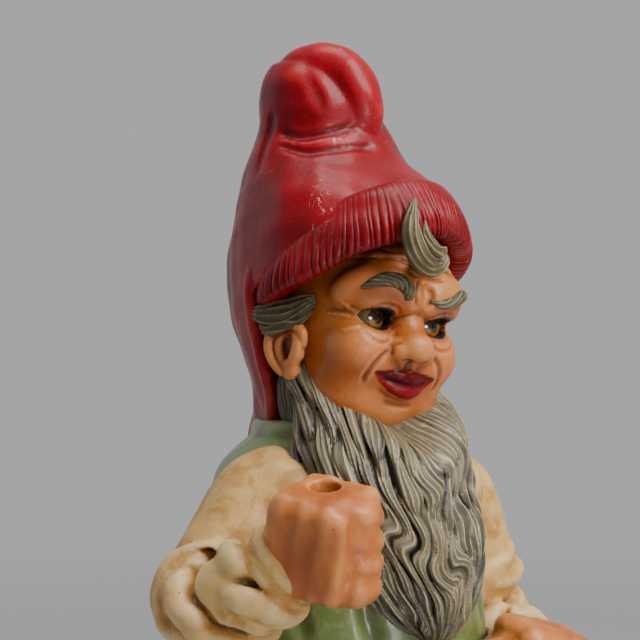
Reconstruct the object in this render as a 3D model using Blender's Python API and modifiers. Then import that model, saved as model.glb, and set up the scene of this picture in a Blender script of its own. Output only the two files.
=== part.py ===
"""A painted terracotta garden gnome, about 0.6 m tall, as the clay sections it is put together from.

Metres, +Z up. The origin is the middle of the plinth's flat underside. The gnome faces -Y, so
the gnome's right hand is on the -X side. Hollow sections have walls WALL thick, and each
section stands GAP clear of its neighbours, where the workshop's slip seam would be.
"""

import math

import bmesh
import bpy
from mathutils import Matrix, Vector

# Driving dimensions
WALL = 0.009  # cast wall of the hollow sections
GAP = 0.0004  # seam between two sections
CORE_REACH = 0.02  # how far a hollow's core runs on through an open end
MERGE = 0.0002  # points of a clearance shape closer than this become one
AROUND = 26  # points round a large section
LIMB_STEPS = 2  # rings to each given point of a limb
CURVE_WELD = 0.00001  # joins a curve's loose caps to its tube
HEAD_CENTRE = Vector((0.0, 0.0, 0.4345))
HEAD_ROLL = math.radians(8)  # the crown leans to the gnome's left
HEAD_PITCH = math.radians(5)  # the forehead leans forward
EYE_RADIUS = 0.0125
EYE_PLACE = (0.0217, -0.0365, 0.0060)  # left eye, in the head's own frame
EYE_STEPS = 20
EYE_WINDOW_AHEAD = 0.014  # from the eye's middle to the middle of the gap between its lids
EYE_WINDOW = (0.0115, 0.0120, 0.0056)
BORE_RADIUS = 0.0085  # the right fist's hole for a tool handle
BORE_LENGTH = 0.12
BELT_HEIGHT = 0.239
BELT_WIDTH = 0.020
BELT_THICKNESS = 0.0035
BUCKLE_SIZE = (0.034, 0.025)  # wide, tall
BUCKLE_RIM = 0.0055
BUCKLE_PROUD = 0.0055  # how far the buckle stands out from the belt
BUCKLE_SUNK = 0.003  # how far its block runs back before the belt cuts it
BUCKLE_WINDOW_FLOOR = 0.0025
BUCKLE_EDGE = 0.0015
BUTTON_RADIUS = 0.0055
BUTTON_HALF_DEPTH = 0.004
BUTTON_PROUD = 0.0005
BUTTON_HEIGHTS = (0.198, 0.2165)

# Level sections: height, middle x, middle y, half width, reach to the front, reach to the back
PLINTH = (
    (0.000, 0.0, 0.0, 0.108, 0.104, 0.094),
    (0.010, 0.0, 0.0, 0.110, 0.106, 0.096),
    (0.022, 0.0, 0.0, 0.104, 0.100, 0.090),
    (0.031, 0.0, 0.0, 0.092, 0.090, 0.080),
    (0.034, 0.0, 0.0, 0.074, 0.074, 0.066),
)
STUMP = (
    (0.028, 0.0, 0.050, 0.040, 0.030, 0.034),
    (0.045, 0.0, 0.050, 0.032, 0.024, 0.027),
    (0.080, 0.0, 0.049, 0.027, 0.022, 0.024),
    (0.130, 0.0, 0.047, 0.026, 0.022, 0.023),
    (0.178, 0.0, 0.046, 0.028, 0.022, 0.024),
)
TORSO = (
    (0.184, 0.0, 0.008, 0.087, 0.079, 0.066),
    (0.196, 0.0, 0.008, 0.090, 0.083, 0.069),
    (0.232, 0.0, 0.008, 0.086, 0.087, 0.067),
    (0.262, 0.0, 0.008, 0.084, 0.085, 0.065),
    (0.295, 0.0, 0.008, 0.084, 0.078, 0.063),
    (0.325, 0.0, 0.008, 0.087, 0.068, 0.063),
    (0.340, 0.0, 0.008, 0.086, 0.062, 0.062),
    (0.354, 0.0, 0.008, 0.079, 0.056, 0.059),
    (0.366, 0.0, 0.008, 0.062, 0.048, 0.052),
    (0.376, 0.0, 0.008, 0.046, 0.042, 0.044),
    (0.382, 0.0, 0.008, 0.040, 0.036, 0.040),
)
PELVIS = (
    (0.168, 0.0, 0.008, 0.052, 0.040, 0.034),
    (0.176, 0.0, 0.008, 0.070, 0.058, 0.050),
    (0.184, 0.0, 0.008, 0.0830, 0.0740, 0.0620),
    (0.196, 0.0, 0.008, 0.0830, 0.0740, 0.0620),
)
# The head's sections are in its own frame: the eyes look along -Y and +Z is its crown
HEAD = (
    (-0.084, 0.0, 0.006, 0.029, 0.028, 0.030),
    (-0.068, 0.0, 0.004, 0.033, 0.036, 0.036),
    (-0.058, 0.0, 0.000, 0.037, 0.048, 0.044),
    (-0.044, 0.0, 0.000, 0.044, 0.054, 0.050),
    (-0.022, 0.0, 0.000, 0.049, 0.056, 0.056),
    (0.000, 0.0, 0.000, 0.050, 0.056, 0.060),
    (0.022, 0.0, 0.000, 0.050, 0.060, 0.061),
    (0.046, 0.0, 0.000, 0.048, 0.059, 0.058),
    (0.056, 0.0, 0.000, 0.045, 0.055, 0.054),
)
CAP = (
    (0.352, 0.0, 0.0, 0.050, 0.040, 0.086),
    (0.366, 0.0, 0.0, 0.049, 0.040, 0.081),
    (0.382, 0.0, 0.0, 0.051, 0.040, 0.071),
    (0.398, 0.0, 0.0, 0.055, 0.044, 0.067),
    (0.418, 0.0, 0.0, 0.060, 0.050, 0.076),
    (0.440, 0.0, 0.0, 0.064, 0.060, 0.087),
    (0.467, 0.0, 0.0, 0.064, 0.068, 0.091),
    (0.494, 0.0, 0.0, 0.062, 0.068, 0.086),
    (0.515, 0.0, 0.004, 0.057, 0.050, 0.078),
    (0.533, -0.004, 0.020, 0.049, 0.043, 0.048),
    (0.551, -0.008, 0.024, 0.041, 0.037, 0.038),
    (0.568, -0.012, 0.026, 0.034, 0.034, 0.034),
    (0.584, -0.016, 0.027, 0.025, 0.027, 0.027),
    (0.595, -0.017, 0.027, 0.016, 0.018, 0.018),
    (0.600, -0.017, 0.027, 0.007, 0.008, 0.008),
)
BEARD = (
    (0.252, 0.004, -0.070, 0.008, 0.008, 0.008),
    (0.264, 0.004, -0.064, 0.026, 0.024, 0.020),
    (0.285, 0.003, -0.050, 0.043, 0.042, 0.030),
    (0.310, 0.001, -0.040, 0.056, 0.050, 0.034),
    (0.335, 0.000, -0.030, 0.059, 0.056, 0.034),
    (0.360, 0.000, -0.022, 0.057, 0.056, 0.026),
    (0.382, 0.000, -0.014, 0.052, 0.056, 0.014),
    (0.392, 0.000, -0.010, 0.047, 0.052, 0.010),
)

# Limbs: x, y, z of the middle and the radius. The thumb's are from the middle of its own grip
RIGHT_ARM = (
    (-0.056, 0.002, 0.338, 0.026),
    (-0.072, 0.000, 0.328, 0.028),
    (-0.092, -0.002, 0.308, 0.028),
    (-0.112, -0.008, 0.284, 0.027),
    (-0.118, -0.024, 0.276, 0.027),
    (-0.113, -0.046, 0.286, 0.025),
    (-0.104, -0.062, 0.300, 0.022),
)
LEFT_ARM = (
    (0.056, 0.002, 0.338, 0.026),
    (0.074, 0.000, 0.326, 0.028),
    (0.088, 0.002, 0.302, 0.028),
    (0.099, 0.002, 0.270, 0.027),
    (0.102, -0.010, 0.244, 0.026),
    (0.096, -0.036, 0.230, 0.024),
    (0.085, -0.058, 0.226, 0.021),
)
LEG = (
    (0.034, 0.008, 0.184, 0.036),
    (0.037, 0.007, 0.160, 0.037),
    (0.040, 0.004, 0.134, 0.035),
    (0.042, 0.006, 0.112, 0.030),
    (0.042, 0.006, 0.094, 0.025),
)
BOOT_SHAFT = (
    (0.042, 0.006, 0.036, 0.028),
    (0.042, 0.006, 0.056, 0.029),
    (0.042, 0.006, 0.078, 0.029),
    (0.042, 0.006, 0.100, 0.033),
    (0.042, 0.006, 0.112, 0.034),
)
BOOT_FOOT = (
    (0.041, 0.034, 0.052, 0.012),
    (0.041, 0.028, 0.053, 0.021),
    (0.042, 0.008, 0.054, 0.027),
    (0.045, -0.018, 0.051, 0.026),
    (0.049, -0.046, 0.048, 0.026),
    (0.052, -0.066, 0.046, 0.021),
    (0.053, -0.078, 0.045, 0.011),
)
NECK_HAIR = (
    (0.046, 0.0105, 0.392, 0.008),
    (0.047, 0.0095, 0.385, 0.011),
    (0.047, 0.0075, 0.376, 0.012),
    (0.046, 0.0055, 0.369, 0.010),
)
SIDEBURN = (
    (0.049, -0.010, 0.420, 0.006),
    (0.048, -0.018, 0.404, 0.012),
    (0.044, -0.028, 0.384, 0.018),
    (0.038, -0.034, 0.362, 0.020),
)
TEMPLE_HAIR = (
    (0.046, -0.033, 0.466, 0.006),
    (0.052, -0.020, 0.457, 0.010),
    (0.057, -0.004, 0.446, 0.011),
    (0.060, 0.010, 0.440, 0.009),
)
FORELOCK = (
    (0.009, -0.076, 0.482, 0.0060),
    (0.002, -0.078, 0.475, 0.0085),
    (-0.010, -0.078, 0.475, 0.0090),
    (-0.019, -0.079, 0.484, 0.0080),
    (-0.022, -0.080, 0.495, 0.0055),
    (-0.018, -0.081, 0.506, 0.0030),
)
EYEBROW = (
    (0.0080, -0.0600, 0.0235, 0.0034),
    (0.0200, -0.0575, 0.0320, 0.0046),
    (0.0300, -0.0510, 0.0310, 0.0044),
    (0.0390, -0.0440, 0.0265, 0.0028),
)
CAP_TIP = (
    (-0.010, 0.020, 0.584, 0.0150),
    (0.000, 0.010, 0.584, 0.0150),
    (0.008, 0.000, 0.573, 0.0145),
    (0.011, -0.006, 0.559, 0.0125),
    (0.011, -0.009, 0.547, 0.0070),
)
THUMB = (
    (0.006, 0.022, 0.020, 0.0085),
    (0.019, 0.006, 0.024, 0.0085),
    (0.019, -0.012, 0.020, 0.0070),
)
# Balls joined to the head, in its own frame: middle and radii. Cheek and ear are the left ones
NOSE = ((0.0, -0.0665, -0.0045), (0.0115, 0.0120, 0.0095))
CHIN = ((0.0, -0.0400, -0.0450), (0.0210, 0.0160, 0.0130))
CHEEK = ((0.0280, -0.0400, -0.0120), (0.018, 0.018, 0.017))
EAR = ((0.0545, 0.0040, -0.0150), (0.0080, 0.0120, 0.0170))

# Openings: the cap's is a block between two corners, the beard's is a ball
FACE_OPENING = ((-0.12, -0.16, 0.30), (0.12, 0.018, 0.474))
FACE_WINDOW = ((0.004, -0.070, 0.404), (0.036, 0.050, 0.034))
CAP_HOLLOW_LEVELS = 13  # the cap is solid above this many of its sections

CUFF_HALF_ANGLE = math.radians(104)
CUFF_STEPS = 26
CUFF_AROUND = 14  # points round the band
CUFF_HEIGHT = 0.5035  # the band's middle over the brow
CUFF_DROP = 0.036  # how much lower it is over the ears
CUFF_REACH = (0.0550, 0.0640)  # from the head's middle to the band's: sideways, to the front
CUFF_HALF_SIZE = (0.0125, 0.0190)  # thick, tall
CUFF_LEAN = 0.28  # how far the band leans in, for its height
CUFF_END = 0.22  # size of the band's ends, of its full size

# Fists, in their own frame: the grip is along Z and the wrist is towards +Y
FIST_SCALE = 1.12
PALM = ((-0.017, -0.020, -0.027), (0.017, 0.028, 0.025))
PALM_EDGE = 0.012
GRIP_RADIUS = 0.016
GRIP_LENGTH = 0.050
KNUCKLE_RING = (0.0165, 0.0073)  # a finger bent round the grip: its ring and its own thickness
TOP_FINGER = 0.0185
FINGER_STEP = 0.0125
FINGERS = 4
# Place and turn about the upright, in degrees, with or without the hole
FISTS = {
    "right": ((-0.090, -0.089, 0.318), 18, True),
    "left": ((0.070, -0.088, 0.226), -14, False),
}

COLOURS = {
    "cap_red": ((0.36, 0.010, 0.022), 0.35),
    "skin": ((0.55, 0.20, 0.060), 0.42),
    "hair_grey": ((0.22, 0.19, 0.12), 0.60),
    "waistcoat_green": ((0.10, 0.20, 0.075), 0.42),
    "shirt_cream": ((0.66, 0.46, 0.22), 0.50),
    "breeches_brown": ((0.12, 0.070, 0.040), 0.55),
    "boot_brown": ((0.055, 0.028, 0.014), 0.45),
    "belt_black": ((0.020, 0.016, 0.013), 0.40),
    "buckle_gold": ((0.50, 0.30, 0.08), 0.35),
    "eye_glass": ((0.030, 0.014, 0.008), 0.05),
    "ground_green": ((0.090, 0.095, 0.040), 0.75),
    "stump_brown": ((0.13, 0.075, 0.040), 0.75),
}


def clear_scene():
    for old in list(bpy.data.objects):
        bpy.data.objects.remove(old, do_unlink=True)


def new_collection(name):
    made = bpy.data.collections.new(name)
    bpy.context.scene.collection.children.link(made)
    return made


def new_material(name):
    colour, roughness = COLOURS[name]
    made = bpy.data.materials.new(name)
    made.use_nodes = True
    shader = made.node_tree.nodes["Principled BSDF"]
    shader.inputs["Base Color"].default_value = (*colour, 1.0)
    shader.inputs["Roughness"].default_value = roughness
    return made


def between(keys, steps):
    """The key rows with steps - 1 rows added in each span, on a smooth Catmull-Rom curve."""
    rows = []
    last = len(keys) - 1
    for i in range(last):
        p0, p1, p2, p3 = (keys[max(0, min(last, k))] for k in (i - 1, i, i + 1, i + 2))
        for step in range(steps):
            t = step / steps
            rows.append(
                tuple(
                    0.5 * (2 * b + (c - a) * t + (2 * a - 5 * b + 4 * c - d) * t * t
                           + (3 * b - a - 3 * c + d) * t * t * t)
                    for a, b, c, d in zip(p0, p1, p2, p3)
                )
            )
    rows.append(tuple(keys[last]))
    return rows


def level_ring(section, grow, around=AROUND):
    """One level section's outline, pushed out by grow."""
    z, x, y, half_width, front, back = section
    ring = []
    for k in range(around):
        angle = 2 * math.pi * k / around
        reach = front if math.sin(angle) > 0 else back
        ring.append(
            Vector((
                x + (half_width + grow) * math.cos(angle),
                y - (reach + grow) * math.sin(angle),
                z,
            ))
        )
    return ring


def skin(name, rings, loop=False):
    """A closed mesh through rings of equal count: capped at its two ends, or a loop of rings."""
    mesh = bpy.data.meshes.new(name)
    bm = bmesh.new()
    rows = [[bm.verts.new(point) for point in ring] for ring in rings]
    count = len(rings[0])
    following = rows[1:] + [rows[0]] if loop else rows[1:]
    for lower, upper in zip(rows, following):
        for k in range(count):
            n = (k + 1) % count
            bm.faces.new((lower[k], lower[n], upper[n], upper[k]))
    if not loop:
        bm.faces.new(rows[0])
        bm.faces.new(rows[-1])
    bmesh.ops.recalc_face_normals(bm, faces=bm.faces)
    bmesh.ops.triangulate(bm, faces=bm.faces)
    bm.to_mesh(mesh)
    bm.free()
    mesh.shade_smooth()
    return bpy.data.objects.new(name, mesh)


def level_body(name, sections, around=AROUND):
    return skin(name, [level_ring(section, 0.0, around) for section in sections])


def section_at(sections, height):
    """The level section at a height, on the straight run between the two beside it."""
    for low, high in zip(sections, sections[1:]):
        if low[0] <= height <= high[0]:
            t = (height - low[0]) / (high[0] - low[0])
            return tuple(a + (b - a) * t for a, b in zip(low, high))
    raise ValueError(f"no section at {height}")


def weld(mesh, distance):
    """Merges points closer than distance, and turns every face outwards."""
    bm = bmesh.new()
    bm.from_mesh(mesh)
    bmesh.ops.remove_doubles(bm, verts=bm.verts, dist=distance)
    bmesh.ops.dissolve_degenerate(bm, edges=bm.edges, dist=distance / 4)
    bmesh.ops.recalc_face_normals(bm, faces=bm.faces)
    bm.to_mesh(mesh)
    bm.free()


def limb(name, rows, grow=0.0, resolution=3):
    """A tapering round limb: a bevelled curve with filled caps, made a mesh and welded."""
    fine = between(rows, LIMB_STEPS)
    curve = bpy.data.curves.new(name + "_path", "CURVE")
    curve.dimensions = "3D"
    curve.bevel_depth = 1.0
    curve.bevel_resolution = resolution
    curve.use_fill_caps = True
    spline = curve.splines.new("POLY")
    spline.points.add(len(fine) - 1)
    for point, (x, y, z, radius) in zip(spline.points, fine):
        point.co = (x, y, z, 1.0)
        point.radius = radius + grow
    path = bpy.data.objects.new(name + "_path", curve)
    bpy.context.scene.collection.objects.link(path)
    bpy.context.view_layer.update()
    graph = bpy.context.evaluated_depsgraph_get()
    mesh = bpy.data.meshes.new_from_object(path.evaluated_get(graph))
    bpy.data.objects.remove(path)
    bpy.data.curves.remove(curve)
    weld(mesh, CURVE_WELD)
    mesh.name = name
    mesh.shade_smooth()
    return bpy.data.objects.new(name, mesh)


def stretched(rows, reach):
    """The rows with both ends carried straight on by reach."""
    first, second = Vector(rows[0][:3]), Vector(rows[1][:3])
    last, before = Vector(rows[-1][:3]), Vector(rows[-2][:3])
    start = first + (first - second).normalized() * reach
    end = last + (last - before).normalized() * reach
    return ((*start, rows[0][3]), *rows, (*end, rows[-1][3]))


def mirrored(rows):
    """The same rows on the other side of the gnome."""
    return tuple((-row[0], *row[1:]) for row in rows)


SIDES = {"left": tuple, "right": mirrored}
SIGNS = {"right": -1, "left": 1}


def ball(name, place, radii, segments=14):
    """An ellipsoid."""
    mesh = bpy.data.meshes.new(name)
    bm = bmesh.new()
    bmesh.ops.create_uvsphere(bm, u_segments=segments, v_segments=segments // 2 + 1, radius=1.0)
    bmesh.ops.scale(bm, vec=radii, verts=bm.verts)
    bmesh.ops.translate(bm, vec=place, verts=bm.verts)
    bm.to_mesh(mesh)
    bm.free()
    mesh.shade_smooth()
    return bpy.data.objects.new(name, mesh)


def block(name, low, high):
    """A box between two corners."""
    mesh = bpy.data.meshes.new(name)
    bm = bmesh.new()
    bmesh.ops.create_cube(bm, size=1.0)
    low, high = Vector(low), Vector(high)
    bmesh.ops.scale(bm, vec=high - low, verts=bm.verts)
    bmesh.ops.translate(bm, vec=(low + high) / 2, verts=bm.verts)
    bm.to_mesh(mesh)
    bm.free()
    return bpy.data.objects.new(name, mesh)


def rod(name, place, radius, length, segments=28):
    """A cylinder along Z with its middle at place."""
    mesh = bpy.data.meshes.new(name)
    bm = bmesh.new()
    bmesh.ops.create_cone(
        bm, cap_ends=True, segments=segments, radius1=radius, radius2=radius, depth=length
    )
    bmesh.ops.translate(bm, vec=place, verts=bm.verts)
    bm.to_mesh(mesh)
    bm.free()
    return bpy.data.objects.new(name, mesh)


def core(sections, below, above):
    """Level sections drawn in by WALL, carried on past one or both ends."""
    inside = [(z, x, y, a - WALL, f - WALL, b - WALL) for z, x, y, a, f, b in sections]
    if below:
        inside.insert(0, (inside[0][0] - below, *inside[0][1:]))
    if above:
        inside.append((inside[-1][0] + above, *inside[-1][1:]))
    return inside


class Workshop:
    """Keeps the finished sections, and the hidden helpers that Booleans read."""

    def __init__(self):
        self.sections = new_collection("garden_gnome")
        self.helpers = new_collection("cutters")
        self.materials = {name: new_material(name) for name in COLOURS}

    def section(self, obj, material):
        self.sections.objects.link(obj)
        obj.data.materials.append(self.materials[material])
        return obj

    def helper(self, obj):
        self.helpers.objects.link(obj)
        obj.hide_render = True
        obj.display_type = "WIRE"
        return obj

    def boolean(self, obj, other, operation):
        if other.name not in self.helpers.objects:
            self.helper(other)
        modifier = obj.modifiers.new(f"{operation.lower()}_{other.name}"[:60], "BOOLEAN")
        modifier.operation = operation
        modifier.solver = "EXACT"
        modifier.object = other
        return obj

    def join(self, obj, *others):
        for other in others:
            self.boolean(obj, other, "UNION")
        return obj

    def cut(self, obj, *others):
        for other in others:
            self.boolean(obj, other, "DIFFERENCE")
        return obj

    def clearance(self, obj):
        """The outer shape of obj pushed out by GAP, from before it was hollowed."""
        name = obj.name + "_clearance"
        grown = bpy.data.objects.get(name)
        if grown is None:
            bpy.context.view_layer.update()
            graph = bpy.context.evaluated_depsgraph_get()
            mesh = bpy.data.meshes.new_from_object(obj.evaluated_get(graph))
            weld(mesh, MERGE)
            grown = self.helper(bpy.data.objects.new(name, mesh))
            push = grown.modifiers.new("push_out", "DISPLACE")
            push.direction = "NORMAL"
            push.mid_level = 0.0
            push.strength = GAP
        return grown

    def hollow(self, obj, *cores):
        self.clearance(obj)
        return self.cut(obj, *cores)

    def seam(self, obj, *neighbours):
        """Cuts obj back to GAP clear of the outer shape of each finished neighbour."""
        return self.cut(obj, *(self.clearance(neighbour) for neighbour in neighbours))


def in_head_frame(obj):
    """Bakes the head's lean into a mesh that was made in the head's own frame."""
    lean = Matrix.Rotation(HEAD_ROLL, 4, "Y") @ Matrix.Rotation(HEAD_PITCH, 4, "X")
    obj.data.transform(Matrix.Translation(HEAD_CENTRE) @ lean)
    return obj


def build_ground(shop):
    return shop.section(level_body("plinth", PLINTH), "ground_green")


def build_stump(shop, plinth, breeches):
    """A support behind the legs, from the plinth up to the seat."""
    stump = shop.section(level_body("tree_stump", STUMP, around=18), "stump_brown")
    return shop.seam(stump, plinth, breeches)


def build_torso(shop):
    """A shell open at the hem and at the neck."""
    torso = shop.section(level_body("torso", TORSO), "waistcoat_green")
    return shop.hollow(torso, level_body("torso_hollow", core(TORSO, CORE_REACH, CORE_REACH)))


def build_breeches(shop, torso):
    """Seat and both legs in one hollow casting, open at the waist and at both shins."""
    breeches = shop.section(level_body("breeches", PELVIS), "breeches_brown")
    cores = [level_body("seat_hollow", core(PELVIS[1:], 0.0, CORE_REACH))]
    for side, turn in SIDES.items():
        shop.join(breeches, limb(side + "_leg", turn(LEG)))
        cores.append(limb(side + "_leg_hollow", stretched(turn(LEG), CORE_REACH), -WALL))
    shop.seam(breeches, torso)
    return shop.hollow(breeches, *cores)


def build_boot(shop, side, plinth, breeches):
    turn = SIDES[side]
    boot = shop.section(limb(side + "_boot", turn(BOOT_SHAFT)), "boot_brown")
    shop.join(boot, limb(side + "_foot", turn(BOOT_FOOT)))
    return shop.seam(boot, plinth, breeches)


def on_side(place, side):
    """A place given for the left side, on either side."""
    return Vector((SIGNS[side] * place[0], place[1], place[2]))


def build_head(shop, torso):
    """The face, ears and neck: a shell open at the crown, under the cap, and at the neck."""
    head = shop.section(in_head_frame(level_body("head", HEAD)), "skin")
    extras = [ball("nose", *NOSE), ball("chin", *CHIN)]
    for side in SIGNS:
        extras.append(ball(side + "_cheek", on_side(CHEEK[0], side), CHEEK[1]))
        extras.append(ball(side + "_ear", on_side(EAR[0], side), EAR[1]))
    shop.join(head, *(in_head_frame(piece) for piece in extras))
    shop.seam(head, torso)
    hollow = level_body("head_hollow", core(HEAD, CORE_REACH, CORE_REACH))
    shop.hollow(head, in_head_frame(hollow))
    for side in SIGNS:
        place = on_side(EYE_PLACE, side)
        seat = ball(side + "_eye_seat", place, [EYE_RADIUS + GAP] * 3, EYE_STEPS)
        between_lids = place - Vector((0, EYE_WINDOW_AHEAD, 0))
        window = ball(side + "_eye_window", between_lids, EYE_WINDOW)
        shop.cut(head, in_head_frame(seat), in_head_frame(window))
    return head


def build_eye(shop, side):
    eye = ball(side + "_eye", on_side(EYE_PLACE, side), [EYE_RADIUS] * 3, EYE_STEPS)
    return shop.section(in_head_frame(eye), "eye_glass")


def build_cap(shop, head, torso):
    """The stocking cap: a hood down to the shoulders behind, cut away in front of the ears."""
    cap = shop.section(level_body("cap", CAP), "cap_red")
    shop.cut(cap, block("face_opening", *FACE_OPENING))
    shop.seam(cap, head, torso)
    inside = core(CAP[:CAP_HOLLOW_LEVELS], CORE_REACH, 0.0)
    return shop.hollow(cap, level_body("cap_hollow", inside))


def build_cuff(shop, cap, head):
    """The knitted turn-up, a thick band over the forehead from ear to ear."""
    rings = []
    aside, ahead = CUFF_REACH
    half_thick, half_tall = CUFF_HALF_SIZE
    for step in range(CUFF_STEPS + 1):
        angle = CUFF_HALF_ANGLE * (2 * step / CUFF_STEPS - 1)
        middle = Vector((aside * math.sin(angle), -ahead * math.cos(angle), CUFF_HEIGHT))
        middle.z -= CUFF_DROP * (1 - math.cos(angle))
        outward = Vector((math.sin(angle), -math.cos(angle), 0.0))
        upward = Vector((0, 0, 1)) - CUFF_LEAN * outward
        size = math.sqrt(max(CUFF_END ** 2, 1 - (abs(angle) / CUFF_HALF_ANGLE) ** 6))
        ring = []
        for k in range(CUFF_AROUND):
            turn = 2 * math.pi * k / CUFF_AROUND
            out = outward * half_thick * math.cos(turn)
            up = upward * half_tall * math.sin(turn)
            ring.append(middle + (out + up) * size)
        rings.append(ring)
    cuff = shop.section(skin("cap_cuff", rings), "cap_red")
    return shop.seam(cuff, cap, head)


def bent_finger(name, height):
    """A finger round the grip, as a full ring: the palm hides its other half."""
    ring_radius, thickness = KNUCKLE_RING
    bpy.ops.mesh.primitive_torus_add(
        major_radius=ring_radius, minor_radius=thickness, major_segments=16, minor_segments=8
    )
    ring = bpy.context.object
    ring.name = name
    ring.data.transform(Matrix.Translation((0, 0, height)))
    for home in ring.users_collection:
        home.objects.unlink(ring)
    return ring


def build_fist(shop, side, neighbours):
    """A closed hand: palm block, four fingers bent round the grip and a thumb over them."""
    name = side + "_fist"
    place, turn, with_bore = FISTS[side]
    palm = shop.section(block(name, *PALM), "skin")
    soften = palm.modifiers.new("soften", "BEVEL")
    soften.width = PALM_EDGE * FIST_SCALE
    soften.segments = 3
    pieces = [rod(name + "_grip", (0.0, 0.0, 0.0), GRIP_RADIUS, GRIP_LENGTH, 20)]
    for finger in range(FINGERS):
        height = TOP_FINGER - FINGER_STEP * finger
        pieces.append(bent_finger(f"{name}_finger_{finger}", height))
    pieces.append(limb(name + "_thumb", THUMB, resolution=2))
    lean = Matrix.Rotation(math.radians(turn), 4, "Z") @ Matrix.Scale(FIST_SCALE, 4)
    for piece in (palm, *pieces):
        piece.data.transform(Matrix.Translation(place) @ lean)
    shop.join(palm, *pieces)
    if with_bore:
        shop.cut(palm, rod(name + "_bore", place, BORE_RADIUS, BORE_LENGTH))
    return shop.seam(palm, *neighbours)


def build_belt(shop):
    """A band round the waist, GAP clear of it."""
    low, high = BELT_HEIGHT - BELT_WIDTH / 2, BELT_HEIGHT + BELT_WIDTH / 2
    heights = [low, *(row[0] for row in TORSO if low < row[0] < high), high]
    girth = [section_at(TORSO, height) for height in heights]
    outer = [level_ring(row, GAP + BELT_THICKNESS) for row in girth]
    inner = [level_ring(row, GAP) for row in girth]
    return shop.section(skin("belt", outer + inner[::-1], loop=True), "belt_black")


def build_sleeve(shop, name, rows, neighbours):
    """One arm, hollow from shoulder to wrist."""
    sleeve = shop.section(limb(name, rows), "shirt_cream")
    shop.seam(sleeve, *neighbours)
    return shop.hollow(sleeve, limb(name + "_hollow", stretched(rows, CORE_REACH), -WALL))


def front_of_torso(height):
    """The y of the waistcoat's front, on the middle line."""
    _, _, y, _, front, _ = section_at(TORSO, height)
    return y - front


def build_buckle(shop, belt):
    face = front_of_torso(BELT_HEIGHT) - BELT_THICKNESS
    half_wide, half_tall = BUCKLE_SIZE[0] / 2, BUCKLE_SIZE[1] / 2
    low = (-half_wide, face - BUCKLE_PROUD, BELT_HEIGHT - half_tall)
    high = (half_wide, face + BUCKLE_SUNK, BELT_HEIGHT + half_tall)
    buckle = shop.section(block("belt_buckle", low, high), "buckle_gold")
    edge = buckle.modifiers.new("edge", "BEVEL")
    edge.width = BUCKLE_EDGE
    edge.segments = 2
    rim = BUCKLE_RIM
    window_low = (rim - half_wide, face - 2 * BUCKLE_PROUD, BELT_HEIGHT - half_tall + rim)
    window_high = (half_wide - rim, face - BUCKLE_WINDOW_FLOOR, BELT_HEIGHT + half_tall - rim)
    shop.cut(buckle, block("buckle_window", window_low, window_high))
    return shop.seam(buckle, belt)


def build_buttons(shop, torso):
    for number, height in enumerate(BUTTON_HEIGHTS, start=1):
        place = (0.0, front_of_torso(height) - BUTTON_PROUD, height)
        radii = (BUTTON_RADIUS, BUTTON_HALF_DEPTH, BUTTON_RADIUS)
        button = ball(f"button_{number}", place, radii, 12)
        shop.seam(shop.section(button, "buckle_gold"), torso)


def build_hair(shop, head, torso, cap, cuff):
    """Beard, side hair, forelock and eyebrows, pressed separately and laid on."""
    beard = shop.section(level_body("beard", BEARD), "hair_grey")
    for side, turn in SIDES.items():
        shop.join(beard, limb(side + "_sideburn", turn(SIDEBURN), resolution=2))
    shop.cut(beard, ball("face_window", *FACE_WINDOW))
    shop.seam(beard, head, torso)
    for side, turn in SIDES.items():
        temple = limb(side + "_temple_hair", turn(TEMPLE_HAIR), resolution=2)
        shop.seam(shop.section(temple, "hair_grey"), head, cap, cuff)
        neck = limb(side + "_neck_hair", turn(NECK_HAIR), resolution=2)
        shop.seam(shop.section(neck, "hair_grey"), head, torso, cap, beard)
        brow = limb(side + "_eyebrow", turn(EYEBROW), resolution=2)
        shop.seam(shop.section(in_head_frame(brow), "hair_grey"), head)
    lock = shop.section(limb("forelock", FORELOCK, resolution=2), "hair_grey")
    shop.seam(lock, head, cuff, cap)
    return beard


def build_cap_tip(shop, cap, cuff):
    tip = shop.section(limb("cap_tip", CAP_TIP, resolution=2), "cap_red")
    return shop.seam(tip, cap, cuff)


def main():
    clear_scene()
    shop = Workshop()
    plinth = build_ground(shop)
    torso = build_torso(shop)
    breeches = build_breeches(shop, torso)
    build_stump(shop, plinth, breeches)
    for side in SIDES:
        build_boot(shop, side, plinth, breeches)
    head = build_head(shop, torso)
    for side in SIDES:
        build_eye(shop, side)
    cap = build_cap(shop, head, torso)
    cuff = build_cuff(shop, cap, head)
    build_cap_tip(shop, cap, cuff)
    belt = build_belt(shop)
    build_buckle(shop, belt)
    build_buttons(shop, torso)
    beard = build_hair(shop, head, torso, cap, cuff)
    body = (torso, beard, belt)
    for side, arm in (("right", RIGHT_ARM), ("left", LEFT_ARM)):
        sleeve = build_sleeve(shop, side + "_sleeve", arm, body)
        build_fist(shop, side, (sleeve, *body))


main()
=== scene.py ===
import math

import bmesh
import bpy
import numpy as np
import openvdb as vdb
from mathutils import Matrix, Vector


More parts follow.
